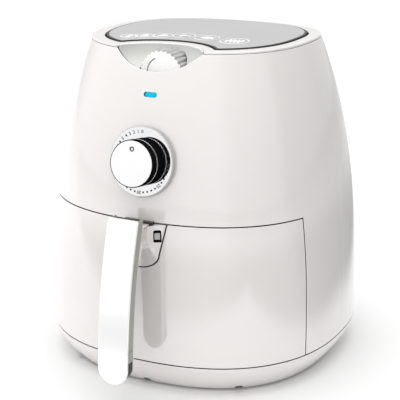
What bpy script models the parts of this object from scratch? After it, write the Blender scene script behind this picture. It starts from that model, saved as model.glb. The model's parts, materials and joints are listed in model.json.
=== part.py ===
"""Compact air fryer: tapered shell, chrome timer dial, scooped temperature dial, pull-out pan and basket.

Metres, +Z up. The front faces -Y. The origin is under the middle of the whole part, on the surface it
stands on.
Every piece hangs on the empty "body_axis", the vertical centre line of the shell.
"""

import math

import bmesh
import bpy
from mathutils import Vector

# ---- driving dimensions: shell -------------------------------------------------------------------
HALF_WIDTH = 0.1448          # widest half-width of the squircle plan, the same in x and y
WIDEST_Z = 0.040
RIM_Z = 0.310                # crisp edge between the side wall and the top cover
TOP_TAPER = 0.0399           # how far the wall leans in from the widest level to the rim
TAPER_POWER = 2.5
BASE_TOP_Z = 0.0288          # middle of the seam between base and shell
BASE_TUCK = 0.0178           # how far the base curls in below that seam
TUCK_POWER = 1.6
BASE_RIM_Z = 0.0018
PLAN_POWER = 2.4             # superellipse exponent of the plan
WALL = 0.0026
FIT = 0.0003                 # gap between pieces that touch
SEAM = 0.0005                # half of a visible seam
PLAN_POINTS = 48
FLOOR_Z = 0.0042             # underside of the base's floor
FLOOR_THICK = 0.0024
FOOT_PLACE = 0.082
FOOT_RADIUS = 0.0095
SCREW_X = 0.092              # the base's four screws
SCREW_Y = 0.052
BAY_FLOOR_Z = 0.0300         # underside of the cradle's floor
VENT_HALF = 0.045            # outlet grille in the rear wall
VENT_LOW_Z = 0.195
VENT_HIGH_Z = 0.243
GLAND_X = 0.050              # where the mains lead would leave
GLAND_Z = 0.058
GLAND_RADIUS = 0.0075
GLAND_BORE = 0.0042
REACH = HALF_WIDTH + 0.02    # beyond the shell on every side

# ---- drawer --------------------------------------------------------------------------------------
DRAWER_TOP_Z = 0.1618
DRAWER_WALL = 0.0030
DRAWER_SIDE_Y = -0.068       # the drawer front wraps round the shell to this plane
NOTCH_TOP_HALF = 0.027       # U-shaped notch in the drawer front that takes the handle's root
NOTCH_LOW_HALF = 0.0206
NOTCH_ARC_Z = 0.133
NOTCH_BOTTOM_Z = 0.119
PAN_HALF = 0.107
PAN_WALL = 0.0012
PAN_FLANGE = 0.0032
PAN_DRAFT = 0.006            # how much narrower the pan is at its foot
PAN_FLOOR_Z = 0.036
PAN_TOP_Z = 0.150
BASKET_HALF = 0.0995
BASKET_WALL = 0.0010
BASKET_FLANGE = 0.0022
BASKET_DRAFT = 0.005
BASKET_ROWS = 9              # slots in the basket's floor
BASKET_PITCH = 0.018
BASKET_FLOOR_Z = 0.048
BASKET_TOP_Z = 0.146
SWITCH_Z = 0.110             # safety switch behind the pan
PAN_BACK_Y = 0.1066          # where its plunger meets the pan
RAIL_LOW_Z = 0.1412
RAIL_HIGH_Z = 0.1476
HANGER_TOP_Z = 0.1536
HANGER_FRONT_Y = -0.1340
STRIP_THICK = 0.0015

# ---- handle --------------------------------------------------------------------------------------
HANDLE_REACH = 0.1946        # from the shell's axis to the foremost point of the handle
HANDLE_LOW_Z = 0.025
HANDLE_TOP_Z = 0.172
HANDLE_HALF = 0.0148
HANDLE_BOW_RADIUS = 0.463    # the grip leans back along this large arc
COVER_THICK = 0.0026
TRIM_BACK = 0.0108           # depth of the trim's rear face behind the cover's front
GRIP_BACK = 0.0175
END_CAP_Z = 0.043
TRIM_INSET = 0.0006
GRIP_INSET = 0.0012
GRIP_EDGE = 0.0008           # softened edge of a grip layer
GRIP_ROUND = 0.0045          # rounded back of the grip
NECK_TOP_Z = 0.1606
NECK_HALF = 0.0128
NECK_LENGTH = 0.024
NECK_FLARE = 0.012           # depth over which the root narrows to the neck
NECK_LIFT = 0.0225           # how far the underside rises over the flare
NECK_DROP = 0.016            # and falls again towards the grip
NECK_DEPTHS = (0.0, 0.0006, 0.0022, 0.005, 0.009, 0.013, 0.018, NECK_LENGTH)
NECK_ROOT_Y = -0.1350        # the root's end inside the drawer front
NECK_SINK = 0.0138           # the neck's end inside the grip, behind the cover's face
GUARD_HALF = 0.0122
GUARD_RISE = 0.0034
BUTTON_Y = -0.1480
BUTTON_RADIUS = 0.0042
STEM_RADIUS = 0.0018
SPRING_SEAT_Z = 0.1500
PIVOT_Y = -0.1395            # latch lever's pivot
PIVOT_Z = 0.1440

# ---- dials, lamp and top -------------------------------------------------------------------------
TIMER_Z = 0.215
TIMER_TILT = math.radians(8.5)
DIAL_RADIUS = 0.0312
KNOB_RADIUS = 0.0212
KNOB_HEIGHT = 0.0175
DIAL_THICK = 0.0032
DIAL_STANDOFF = 0.0022
DIAL_BORE = 0.0045
KNOB_SKIRT = 0.0003          # how far the skirt stands out from the knob
KNOB_GROOVE = 0.0006
LAMP_Z = 0.2727
LAMP_LENGTH = 0.009
LAMP_HEIGHT = 0.0036
THERMO_Z = 0.2873
THERMO_FACE_Y = -0.0966
THERMO_RADIUS = 0.0212
THERMO_LENGTH = 0.0205
THERMO_FLUTES = 28
THERMO_FLUTE_DEPTH = 0.0012
THERMO_SLOT = THERMO_RADIUS + 0.0011
SCOOP_RADIUS = 0.048         # rim of the scoop in the top plane
SCOOP_CENTRE_Y = -0.1185
SCOOP_DEPTH = 0.027
SCOOP_THICK = 0.0018
LIP_RADIUS = 0.062           # arc of the scoop's edge in the front wall
LIP_LOW_Z = 0.292
COVER_TOP_Z = 0.3112
LID_HALF = 0.091
LID_BITE_RADIUS = 0.060
LID_BITE_Y = -0.1175
LID_GAP = 0.0022
POCKET_Z = COVER_TOP_Z - 0.0036
LID_LOW_Z = COVER_TOP_Z - 0.0033

# ---- heating section -----------------------------------------------------------------------------
CHAMBER_RADIUS = 0.096
CHAMBER_LOW_Z = 0.1565
CHAMBER_TOP_Z = 0.2550
SHEET = 0.0010
ELEMENT_Z = 0.2150
ELEMENT_TUBE = 0.0033
HOT_FAN_Z = 0.2290
SHIELD_Z = 0.2580
COOLING_FAN_Z = 0.2640
BRIDGE_Z = 0.2790
SHAFT_RADIUS = 0.003
BAY_HALF = 0.119
BAY_WALL = 0.003
SHIELD_RADIUS = 0.104
SHIELD_THICK = 0.0012
HUB_HOLE = 0.010             # opening in the liner and the shield round the shaft
BRIDGE_LEG = 0.056
BRIDGE_FOOT = 0.010
BRIDGE_THICK = 0.0015
SENSOR_RADIUS = 0.0024
DUCT_HALF = 0.036
DUCT_LOW_Z = 0.203
DUCT_HIGH_Z = 0.236
ELEMENT_TAILS = [(0.080, 0.0), (0.084, 0.016)]
SENSOR_Y = -0.084

AXIS_Y = (HANDLE_REACH - HALF_WIDTH) / 2


# ---- scene and materials -------------------------------------------------------------------------
def clear_scene():
    for item in list(bpy.data.objects):
        bpy.data.objects.remove(item, do_unlink=True)


def material(name, colour, roughness, metallic=0.0):
    made = bpy.data.materials.get(name) or bpy.data.materials.new(name)
    made.use_nodes = True
    shader = made.node_tree.nodes["Principled BSDF"]
    shader.inputs["Base Color"].default_value = (*colour, 1.0)
    shader.inputs["Roughness"].default_value = roughness
    shader.inputs["Metallic"].default_value = metallic
    made.diffuse_color = (*colour, 1.0)
    return made


WHITE = ("gloss white plastic", (0.86, 0.85, 0.83), 0.12)
SCOOP_GREY = ("light grey plastic", (0.72, 0.72, 0.70), 0.35)
SILVER = ("satin silver", (0.62, 0.62, 0.62), 0.35, 0.6)
BRIGHT = ("polished silver plate", (0.93, 0.93, 0.93), 0.15, 0.4)
CHROME = ("chrome", (0.80, 0.80, 0.81), 0.05, 1.0)
TRIM_GREY = ("grey trim plastic", (0.48, 0.48, 0.46), 0.3)
DARK = ("dark grey plastic", (0.04, 0.04, 0.04), 0.4)
SMOKED = ("smoked plastic", (0.10, 0.09, 0.06), 0.1)
INNER = ("inner grey plastic", (0.25, 0.25, 0.26), 0.5)
COATED = ("non-stick coating", (0.035, 0.035, 0.037), 0.4, 0.2)
SHEET_STEEL = ("galvanised sheet", (0.60, 0.61, 0.62), 0.4, 1.0)
ELEMENT = ("element sheath", (0.18, 0.17, 0.16), 0.45, 1.0)
STEEL = ("steel", (0.55, 0.55, 0.56), 0.3, 1.0)
RUBBER = ("black rubber", (0.02, 0.02, 0.02), 0.8)
LENS = ("cyan lens", (0.0, 0.65, 0.85), 0.2)
MOTOR_IRON = ("motor iron", (0.35, 0.33, 0.31), 0.45, 1.0)


# ---- mesh helpers --------------------------------------------------------------------------------
def make_object(name, mesh_data, finish, parent, location=(0, 0, 0)):
    if isinstance(mesh_data, bmesh.types.BMesh):
        bmesh.ops.recalc_face_normals(mesh_data, faces=mesh_data.faces)
        mesh = bpy.data.meshes.new(name)
        mesh_data.to_mesh(mesh)
        mesh_data.free()
    else:
        mesh = mesh_data
    item = bpy.data.objects.new(name, mesh)
    bpy.context.scene.collection.objects.link(item)
    item.parent = parent
    item.location = location
    if finish:
        mesh.materials.append(material(*finish))
        mesh.shade_smooth()
        mesh.set_sharp_from_angle(angle=math.radians(35))
    return item


def empty(name, parent=None, location=(0, 0, 0), tilt_x=0.0):
    item = bpy.data.objects.new(name, None)
    bpy.context.scene.collection.objects.link(item)
    item.parent = parent
    item.location = location
    item.rotation_euler = (tilt_x, 0, 0)
    return item


def skin(rings, cap_first=True, cap_last=True, closed=False):
    """A surface through rings of as many points each; closed joins the last ring to the first."""
    bm = bmesh.new()
    loops = [[bm.verts.new(point) for point in ring] for ring in rings]
    if closed:
        loops.append(loops[0])
    for low, high in zip(loops, loops[1:]):
        count = len(low)
        for i in range(count):
            j = (i + 1) % count
            bm.faces.new((low[i], low[j], high[j], high[i]))
    if not closed and cap_first:
        bm.faces.new(list(reversed(loops[0])))
    if not closed and cap_last:
        bm.faces.new(loops[-1])
    return bm


def plan_ring(half, z, count=PLAN_POINTS):
    """The superellipse plan at one height."""
    ring = []
    for i in range(count):
        c = math.cos(2 * math.pi * i / count)
        s = math.sin(2 * math.pi * i / count)
        x = math.copysign(abs(c) ** (2 / PLAN_POWER), c) * half
        y = math.copysign(abs(s) ** (2 / PLAN_POWER), s) * half
        ring.append((x, y, z))
    return ring


def half_width(z):
    if z > WIDEST_Z:
        return HALF_WIDTH - TOP_TAPER * ((z - WIDEST_Z) / (RIM_Z - WIDEST_Z)) ** TAPER_POWER
    if z < BASE_TOP_Z:
        return HALF_WIDTH - BASE_TUCK * ((BASE_TOP_Z - z) / BASE_TOP_Z) ** TUCK_POWER
    return HALF_WIDTH


def front_y(x, z, inset=0.0):
    """The y of the shell's front surface at x and z."""
    half = half_width(z) - inset
    return -half * (1 - (abs(x) / half) ** PLAN_POWER) ** (1 / PLAN_POWER)


def levels(low, high, count):
    return [low + (high - low) * i / (count - 1) for i in range(count)]


def shell_band(low, high, count, outer_inset=0.0, inner_inset=WALL):
    """The rings of a tube that follows the shell between two heights."""
    outside = [plan_ring(half_width(z) - outer_inset, z) for z in levels(low, high, count)]
    inside = [plan_ring(half_width(z) - inner_inset, z) for z in levels(high, low, count)]
    return outside + inside


def turned(profile, segments=32, closed=False):
    """A solid turned about Z. The profile's points are (radius, z); zero radii become poles."""
    bm = bmesh.new()
    loops = []
    for radius, z in profile:
        if radius == 0:
            loops.append([bm.verts.new((0, 0, z))])
            continue
        angles = [2 * math.pi * i / segments for i in range(segments)]
        loops.append([bm.verts.new((radius * math.cos(a), radius * math.sin(a), z)) for a in angles])
    if closed:
        loops.append(loops[0])
    for low, high in zip(loops, loops[1:]):
        for i in range(segments):
            j = (i + 1) % segments
            corners = [low[i % len(low)], low[j % len(low)], high[j % len(high)], high[i % len(high)]]
            unique = list(dict.fromkeys(corners))
            if len(unique) > 2:
                bm.faces.new(unique)
    if not closed:
        for loop, flip in ((loops[0], True), (loops[-1], False)):
            if len(loop) > 1:
                bm.faces.new(list(reversed(loop)) if flip else loop)
    return bm


def prism(outline, low, high, axis="Z"):
    """An outline of (u, v) points run along an axis: Z takes (x, y), Y takes (x, z), X takes (y, z)."""
    order = {"Z": (0, 1, 2), "Y": (0, 2, 1), "X": (2, 0, 1)}[axis]
    return skin([[tuple((u, v, w)[k] for k in order) for u, v in outline] for w in (low, high)])


def box(low, high):
    outline = [(low[0], low[1]), (high[0], low[1]), (high[0], high[1]), (low[0], high[1])]
    return prism(outline, low[2], high[2])


def circle(radius, count=24, centre=(0, 0)):
    angles = [2 * math.pi * (i + 0.5) / count for i in range(count)]
    return [(centre[0] + radius * math.cos(a), centre[1] + radius * math.sin(a)) for a in angles]


def stadium(length, height, count=6):
    """A slot outline, length over its round ends, centred on the origin."""
    radius = height / 2
    reach = length / 2 - radius
    turns = levels(-math.pi / 2, math.pi / 2, count)
    right = [(reach + radius * math.cos(a), radius * math.sin(a)) for a in turns]
    return right + [(-x, -y) for x, y in right]


def boolean(target, tool, operation):
    change = target.modifiers.new(operation.lower(), "BOOLEAN")
    change.operation = operation
    change.solver = "EXACT"
    change.object = tool
    tool.hide_render = True
    tool.display_type = "WIRE"
    return target


def cut(target, shape, location=(0, 0, 0), parent=None):
    tool = make_object("cutter_for_" + target.name, shape, None, parent or target.parent, location)
    return boolean(target, tool, "DIFFERENCE")


def join(target, shape, location=(0, 0, 0), parent=None):
    tool = make_object("addition_to_" + target.name, shape, None, parent or target.parent, location)
    return boolean(target, tool, "UNION")


def keep(target, shape, location=(0, 0, 0), parent=None):
    tool = make_object("limit_of_" + target.name, shape, None, parent or target.parent, location)
    return boolean(target, tool, "INTERSECT")


# ---- casings -------------------------------------------------------------------------------------
def drill(radius, segments):
    """A short round cutter about the local Z, through the wall."""
    return turned([(0, -0.02), (radius, -0.02), (radius, 0.02), (0, 0.02)], segments)


def build_housing(axis, timer, gland):
    band = shell_band(BASE_TOP_Z + SEAM, RIM_Z - 0.0011, 9)
    shell = make_object("housing_shell", skin(band, closed=True), WHITE, axis)
    cut(shell, box((-REACH, -REACH, 0), (REACH, DRAWER_SIDE_Y + SEAM, DRAWER_TOP_Z + SEAM)))
    lip = circle(LIP_RADIUS, 48, (0, LIP_LOW_Z + LIP_RADIUS))
    cut(shell, prism(lip, -REACH, -0.06, "Y"))
    cut(shell, drill(0.0042, 16), parent=timer)
    lamp = stadium(LAMP_LENGTH + 2 * FIT, LAMP_HEIGHT + 2 * FIT)
    cut(shell, prism([(x, z + LAMP_Z) for x, z in lamp], -REACH, -0.09, "Y"))
    cut(shell, box((-VENT_HALF, 0.09, VENT_LOW_Z), (VENT_HALF, REACH, VENT_HIGH_Z)))
    cut(shell, drill(GLAND_RADIUS + FIT, 20), parent=gland)
    return shell


def build_top_cover(axis):
    """A rim with a lip inside the shell; a pocket that stops short of the scoop holds the lid panel."""
    low_z = RIM_Z - 0.0008
    rim = half_width(RIM_Z)
    lip = rim - WALL - FIT
    rings = [
        plan_ring(lip - 0.002, POCKET_Z - 0.0025),
        plan_ring(lip - 0.002, RIM_Z - 0.010),
        plan_ring(lip, RIM_Z - 0.010),
        plan_ring(lip, low_z),
        plan_ring(rim, low_z),
        plan_ring(rim, RIM_Z + 0.0004),
        plan_ring(rim - 0.0008, COVER_TOP_Z - 0.0002),
        plan_ring(rim - 0.003, COVER_TOP_Z),
    ]
    cover = make_object("top_cover", skin(rings), WHITE, axis)
    pocket = [plan_ring(LID_HALF + LID_GAP, z) for z in (POCKET_Z, 0.4)]
    cut(cover, skin(pocket))
    tool = cover.modifiers[-1].object
    cut(tool, prism(circle(LID_BITE_RADIUS - LID_GAP, 64, (0, LID_BITE_Y)), 0.2, 0.5), parent=axis)
    return cut(cover, prism(circle(SCOOP_RADIUS, 64, (0, SCOOP_CENTRE_Y)), 0.2, 0.4))


def build_lid_panel(axis):
    rings = [
        plan_ring(LID_HALF, LID_LOW_Z, count=64),
        plan_ring(LID_HALF, COVER_TOP_Z - 0.0006, count=64),
        plan_ring(LID_HALF - 0.0006, COVER_TOP_Z, count=64),
    ]
    panel = make_object("lid_panel", skin(rings), SILVER, axis)
    return cut(panel, prism(circle(LID_BITE_RADIUS, 64, (0, LID_BITE_Y)), 0.2, 0.4))


def scoop_profile():
    """The bowl's profile from its middle to its rim, as (radius, z)."""
    reach = SCOOP_RADIUS - FIT - SCOOP_THICK
    low_z = COVER_TOP_Z - SCOOP_DEPTH
    rise = SCOOP_DEPTH - 0.0004
    return [(reach * math.sin(a), low_z + rise * (1 - math.cos(a))) for a in levels(0, math.pi / 2, 7)]


def build_dial_recess(axis, thermo):
    """A bowl let into the top front edge, cut off by the inside of the shell's wall."""
    inside = scoop_profile()
    outside = [(radius + SCOOP_THICK * (radius > 0), z - SCOOP_THICK) for radius, z in inside]
    outside[-1] = (SCOOP_RADIUS - FIT, inside[-1][1])
    profile = inside + list(reversed(outside))
    bowl = make_object("dial_recess", turned(profile, 48), SCOOP_GREY, axis, (0, SCOOP_CENTRE_Y, 0))
    inset = WALL + 2 * FIT
    inner = [plan_ring(half_width(z) - inset, z) for z in levels(0.25, RIM_Z, 7)]
    keep(bowl, skin(inner + [plan_ring(half_width(RIM_Z) - inset, 0.32)]))
    back, front = -THERMO_LENGTH - 0.0012, 0.0014
    cut(bowl, turned([(0, back), (THERMO_SLOT, back), (THERMO_SLOT, front), (0, front)], 40), parent=thermo)
    return bowl


def build_base(axis):
    inner = half_width(BASE_RIM_Z) - WALL
    outside = [plan_ring(half_width(z), z) for z in levels(BASE_RIM_Z, BASE_TOP_Z - SEAM, 5)]
    rings = [plan_ring(inner, FLOOR_Z), plan_ring(inner, BASE_RIM_Z)] + outside
    rings.append(plan_ring(half_width(BASE_TOP_Z) - WALL, BASE_TOP_Z - SEAM))
    rings.append(plan_ring(half_width(0.014) - WALL, 0.014))
    rings.append(plan_ring(half_width(FLOOR_Z) - WALL, FLOOR_Z + FLOOR_THICK))
    base = make_object("base_tray", skin(rings), WHITE, axis)
    for x, y in screw_places():
        cut(base, turned([(0, 0), (0.002, 0), (0.002, 0.02), (0, 0.02)], 12), (x, y, 0))
    return base


def screw_places():
    return [(sx * SCREW_X, sy * SCREW_Y) for sx in (-1, 1) for sy in (-1, 1)]


def side_words(sx, sy):
    return ("front" if sy < 0 else "rear") + ("_left" if sx < 0 else "_right")


def build_feet(axis):
    top = FLOOR_Z - FIT
    profile = [(0, 0), (FOOT_RADIUS - 0.001, 0), (FOOT_RADIUS, 0.0008), (FOOT_RADIUS, top), (0, top)]
    for sx in (-1, 1):
        for sy in (-1, 1):
            place = (sx * FOOT_PLACE, sy * FOOT_PLACE, 0)
            make_object("foot_" + side_words(sx, sy), turned(profile, 20), RUBBER, axis, place)


def build_base_screws(axis):
    profile = [(0, 0.0022), (0.0028, 0.0022), (0.0034, 0.0028), (0.0034, FLOOR_Z - FIT),
               (0.0016, FLOOR_Z - FIT), (0.0016, 0.024), (0, 0.024)]
    for x, y in screw_places():
        make_object("base_screw_" + side_words(x, y), turned(profile, 12), STEEL, axis, (x, y, 0))


def build_rear_vent(axis):
    band = shell_band(VENT_LOW_Z - 0.004, VENT_HIGH_Z + 0.004, 5, 0.0005, 0.0032)
    vent = make_object("rear_vent", skin(band, closed=True), DARK, axis)
    keep(vent, box((-VENT_HALF + FIT, 0.08, VENT_LOW_Z + FIT), (VENT_HALF - FIT, 0.17, VENT_HIGH_Z - FIT)))
    pitch = (VENT_HIGH_Z - VENT_LOW_Z) / 7
    for row in range(6):
        z = VENT_LOW_Z + pitch * (row + 1)
        for sx in (-1, 1):
            low_x, high_x = sorted((sx * 0.003, sx * 0.041))
            cut(vent, box((low_x, 0.08, z - 0.0018), (high_x, 0.17, z + 0.0018)))
    return vent


def gland_frame(axis):
    """An empty on the rear wall whose local Z is the wall's outward normal."""
    step = 0.010
    turn = math.atan2(front_y(GLAND_X + step, GLAND_Z) - front_y(GLAND_X - step, GLAND_Z), 2 * step)
    frame = empty("gland_frame", axis, (GLAND_X, -front_y(GLAND_X, GLAND_Z), GLAND_Z), -math.pi / 2)
    frame.rotation_euler.z = -turn
    return frame


def build_gland(frame):
    """The bush that the mains lead would leave through."""
    profile = [(GLAND_BORE, -0.010), (GLAND_RADIUS, -0.010), (GLAND_RADIUS, 0.0008), (0.0095, 0.0008),
               (0.0095, 0.0016), (0.0080, 0.0022), (GLAND_BORE, 0.0022)]
    return make_object("cord_gland", turned(profile, 20, closed=True), DARK, frame)


# ---- drawer --------------------------------------------------------------------------------------
def notch_outline(shrink=0.0):
    """The U of the drawer's notch as (x, z), from the top right round the bottom to the top left."""
    top = (NOTCH_TOP_HALF - shrink, DRAWER_TOP_Z - SEAM - shrink)
    half = NOTCH_LOW_HALF - shrink
    drop = NOTCH_ARC_Z - NOTCH_BOTTOM_Z - shrink
    side = [(top[0] + (half - top[0]) * k, top[1] + (NOTCH_ARC_Z - top[1]) * k) for k in (0, 0.35, 0.7)]
    turns = levels(0, math.pi / 2, 5)
    arc = [(half * math.cos(a), NOTCH_ARC_Z - drop * math.sin(a)) for a in turns]
    right = side + arc
    return right + [(-x, z) for x, z in reversed(right[:-1])]


def build_drawer_front(body):
    band = shell_band(BASE_TOP_Z + SEAM, DRAWER_TOP_Z - SEAM, 6, 0.0, DRAWER_WALL)
    front = make_object("drawer_front", skin(band, closed=True), WHITE, body)
    keep(front, box((-REACH, -REACH, 0), (REACH, DRAWER_SIDE_Y - SEAM, RIM_Z)))
    outline = notch_outline()
    outline = [(outline[0][0], RIM_Z)] + outline + [(outline[-1][0], RIM_Z)]
    return cut(front, prism(outline, -REACH, -0.11, "Y"))


def tub(half, floor_z, top_z, wall, flange, foot_half):
    """The rings of an open squircle tub with a flat flange, from its foot round to its inner floor."""
    bend = 0.012
    under = top_z - 0.002
    section = [(foot_half - bend / 2, floor_z), (foot_half, floor_z + bend / 3), (half, under),
               (half + flange, under), (half + flange, top_z), (half - wall, top_z),
               (foot_half - wall, floor_z + wall + bend / 3), (foot_half - wall - bend / 2, floor_z + wall)]
    return [plan_ring(reach, z) for reach, z in section]


def build_pan(body):
    rings = tub(PAN_HALF, PAN_FLOOR_Z, PAN_TOP_Z, PAN_WALL, PAN_FLANGE, PAN_HALF - PAN_DRAFT)
    return make_object("pan", skin(rings), COATED, body)


def build_basket(body):
    foot = BASKET_HALF - BASKET_DRAFT
    rings = tub(BASKET_HALF, BASKET_FLOOR_Z, BASKET_TOP_Z, BASKET_WALL, BASKET_FLANGE, foot)
    basket = make_object("basket", skin(rings), COATED, body)
    for row in range(BASKET_ROWS):
        y = (row - (BASKET_ROWS - 1) / 2) * BASKET_PITCH
        reach = 0.085 * math.sqrt(1 - (y / 0.092) ** 2)
        cut(basket, prism([(x, v + y) for x, v in stadium(2 * reach, 0.008, 4)], 0.04, 0.06))
    return basket


def build_basket_hanger(body):
    """Bent strip from the basket's front rim over the pan's rim to the handle's root."""
    back = -BASKET_HALF - BASKET_FLANGE - 0.0004
    top = HANGER_TOP_Z
    low_back, low_front = 0.137, 0.128
    inner = [(back, low_back), (back, top), (HANGER_FRONT_Y, top), (HANGER_FRONT_Y, low_front)]
    under = top - STRIP_THICK
    outer = [(HANGER_FRONT_Y + STRIP_THICK, low_front), (HANGER_FRONT_Y + STRIP_THICK, under),
             (back - STRIP_THICK, under), (back - STRIP_THICK, low_back)]
    return make_object("basket_hanger", prism(inner + outer, -0.016, 0.016, "X"), STEEL, body)


def build_pan_bracket(body):
    """Folded plates that hold the pan to the back of the drawer front."""
    low, shelf, high = 0.070, 0.072, 0.126
    pan_y = -PAN_HALF + 0.001
    for word, sx in (("left", -1), ("right", 1)):
        near, far = sorted((sx * 0.036, sx * 0.060))
        front = front_y(0.060, high, DRAWER_WALL + 2 * FIT)
        back = front + STRIP_THICK
        outline = [(front, low), (front, high), (back, high), (back, shelf + STRIP_THICK),
                   (pan_y, shelf + STRIP_THICK), (pan_y, shelf), (back, shelf), (back, low)]
        make_object("pan_bracket_" + word, prism(outline, near, far, "X"), STEEL, body)


# ---- handle --------------------------------------------------------------------------------------
def handle_front(z):
    """The y of the cover's front face; the grip leans back above its lowest point."""
    rise = z - HANDLE_LOW_Z
    return -HANDLE_REACH + HANDLE_BOW_RADIUS - math.sqrt(HANDLE_BOW_RADIUS ** 2 - rise ** 2)


def handle_half(z, inset=0.0):
    """Half of the handle's width, which ends in a half round at the bottom."""
    centre = HANDLE_LOW_Z + HANDLE_HALF
    half = HANDLE_HALF - inset
    if z >= centre:
        return half
    return math.sqrt(max(half ** 2 - (centre - z) ** 2, 1e-8))


def handle_levels(low, high, inset):
    """Heights along the handle, close together round its lower end."""
    centre = HANDLE_LOW_Z + HANDLE_HALF
    half = HANDLE_HALF - inset
    found = [centre - half * math.cos(a) for a in levels(math.radians(8), math.pi / 2, 7)]
    found += levels(centre, HANDLE_TOP_Z, 8)[1:]
    inner = [z for z in found if low + 0.001 < z < high - 0.001]
    return [max(low, found[0])] + [z for z in inner if z > max(low, found[0]) + 0.0005] + [high]


def grip_ring(z, near, far, inset, round_back=False):
    """A cross-section of a handle layer between two depths behind the cover's front face."""
    half = handle_half(z, inset)
    y = handle_front(z)
    soft = min(GRIP_EDGE, half * 0.4)
    right = [(half - soft, y + near), (half, y + near + soft)]
    if round_back:
        side = min(GRIP_ROUND, half * 0.6)
        slant = side * 0.3
        right += [(half, y + far - side), (half - slant, y + far - slant), (half - side, y + far)]
    else:
        right.append((half, y + far))
    return [(x, v, z) for x, v in right + [(-x, v) for x, v in reversed(right)]]


def grip_layer(low, high, near, far, inset, round_back=False):
    return skin([grip_ring(z, near, far, inset, round_back) for z in handle_levels(low, high, inset)])


def neck_sections():
    """Rings from the notch in the drawer front, flared in to the neck and on into the grip."""
    root = notch_outline(FIT)
    count = len(root)
    top_z, low_z = root[0][1], root[count // 2][1]
    root += [(x, top_z) for x in (-NOTCH_TOP_HALF / 2, 0, NOTCH_TOP_HALF / 2)]
    rings = [[(x, NECK_ROOT_Y, z) for x, z in root]]
    for depth in NECK_DEPTHS:
        ease = 1.0 if depth >= NECK_FLARE else math.sqrt(1 - (1 - depth / NECK_FLARE) ** 2)
        fall = max(0.0, (depth - NECK_FLARE) / (NECK_LENGTH - NECK_FLARE))
        under = NOTCH_BOTTOM_Z + FIT + NECK_LIFT * ease - NECK_DROP * fall ** 2
        top = top_z + (NECK_TOP_Z - top_z) * ease
        ring = []
        for i, (x, z) in enumerate(root):
            share = (top_z - z) / (top_z - low_z)
            if i < count:
                flank = math.copysign(NECK_HALF * min(1.0, (1.02 - share ** 4) * 1.6), x)
            else:
                flank = x * NECK_HALF / NOTCH_TOP_HALF
            new_z = top - share * (top - under)
            y = front_y(x, z) - depth if depth < NECK_LENGTH else handle_front(new_z) + NECK_SINK
            ring.append((x + (flank - x) * ease, y, new_z))
        rings.append(ring)
    return rings


def build_handle_body(body):
    handle = make_object("handle_body", skin(neck_sections()), WHITE, body)
    join(handle, grip_layer(HANDLE_LOW_Z, NECK_TOP_Z, TRIM_BACK + FIT, GRIP_BACK, GRIP_INSET, True))
    cut(handle, prism(circle(BUTTON_RADIUS + 0.0004, 16, (0, BUTTON_Y)), SPRING_SEAT_Z, 0.2))
    seat = SPRING_SEAT_Z - 0.0015
    cut(handle, box((-0.0035, BUTTON_Y - 0.003, seat - 0.0100), (0.0035, -0.12, seat)))
    stem = circle(STEM_RADIUS + 0.0004, 12, (0, BUTTON_Y))
    cut(handle, prism(stem, SPRING_SEAT_Z - 0.003, SPRING_SEAT_Z + 0.001))
    return handle


def build_handle_shells(body):
    near = COVER_THICK + FIT
    sides = grip_layer(END_CAP_Z, HANDLE_TOP_Z - TRIM_INSET, near, TRIM_BACK, TRIM_INSET)
    trim = make_object("handle_trim", sides, TRIM_GREY, body)
    pocket = handle_front(NECK_TOP_Z) + near + 0.0004
    cut(trim, box((-NECK_HALF, pocket, NECK_TOP_Z), (NECK_HALF, -0.14, 0.2)))
    tip = grip_layer(HANDLE_LOW_Z, END_CAP_Z - FIT, near, TRIM_BACK, TRIM_INSET)
    make_object("handle_end_cap", tip, DARK, body)
    face = grip_layer(HANDLE_LOW_Z, HANDLE_TOP_Z, 0, COVER_THICK, 0)
    make_object("handle_cover", face, BRIGHT, body)
    head, shank, head_end, end = 0.0026, 0.0013, 0.0022, 0.0085
    screw = [(0, 0), (head, 0), (head, head_end), (shank, head_end), (shank, end), (0, end)]
    head, shank, head_end, end = [size + 0.0004 for size in (head, shank, head_end, end)]
    hole = [(0, -0.01), (head, -0.01), (head, head_end), (shank, head_end), (shank, end), (0, end)]
    for word, z in (("upper", 0.118), ("lower", 0.060)):
        place = (0, handle_front(z) + GRIP_BACK + 0.0002, z)
        item = make_object("handle_screw_" + word, turned(screw, 12), STEEL, body, place)
        item.rotation_euler = (math.pi / 2, 0, 0)
        for name in ("handle_body", "handle_trim"):
            tool = make_object("hole_for_" + name, turned(hole, 12), None, body, place)
            tool.rotation_euler = (math.pi / 2, 0, 0)
            boolean(bpy.data.objects[name], tool, "DIFFERENCE")


def build_guard(guard):
    """The sliding shield over the release button; it runs forward into the pocket behind the cover."""
    back = front_y(0, DRAWER_TOP_Z + SEAM) - 0.0008
    low = NECK_TOP_Z + FIT
    top = NECK_TOP_Z + GUARD_RISE
    outline = [(back, low), (back, DRAWER_TOP_Z - 0.0002), (back - 0.002, top - 0.0008),
               (back - 0.012, top + 0.0006), (back - 0.0145, top - 0.0004), (back - 0.0155, low)]
    return make_object("button_guard", prism(outline, -GUARD_HALF, GUARD_HALF, "X"), SMOKED, guard)


def build_button(button):
    top = NECK_TOP_Z - 0.0002 - SPRING_SEAT_Z
    foot = -0.0016
    step = 0.0055
    profile = [(0, foot), (STEM_RADIUS, foot), (STEM_RADIUS, step), (BUTTON_RADIUS, step),
               (BUTTON_RADIUS, top - 0.0006), (BUTTON_RADIUS - 0.0006, top), (0, top)]
    make_object("release_button", turned(profile, 16), TRIM_GREY, button)


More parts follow.
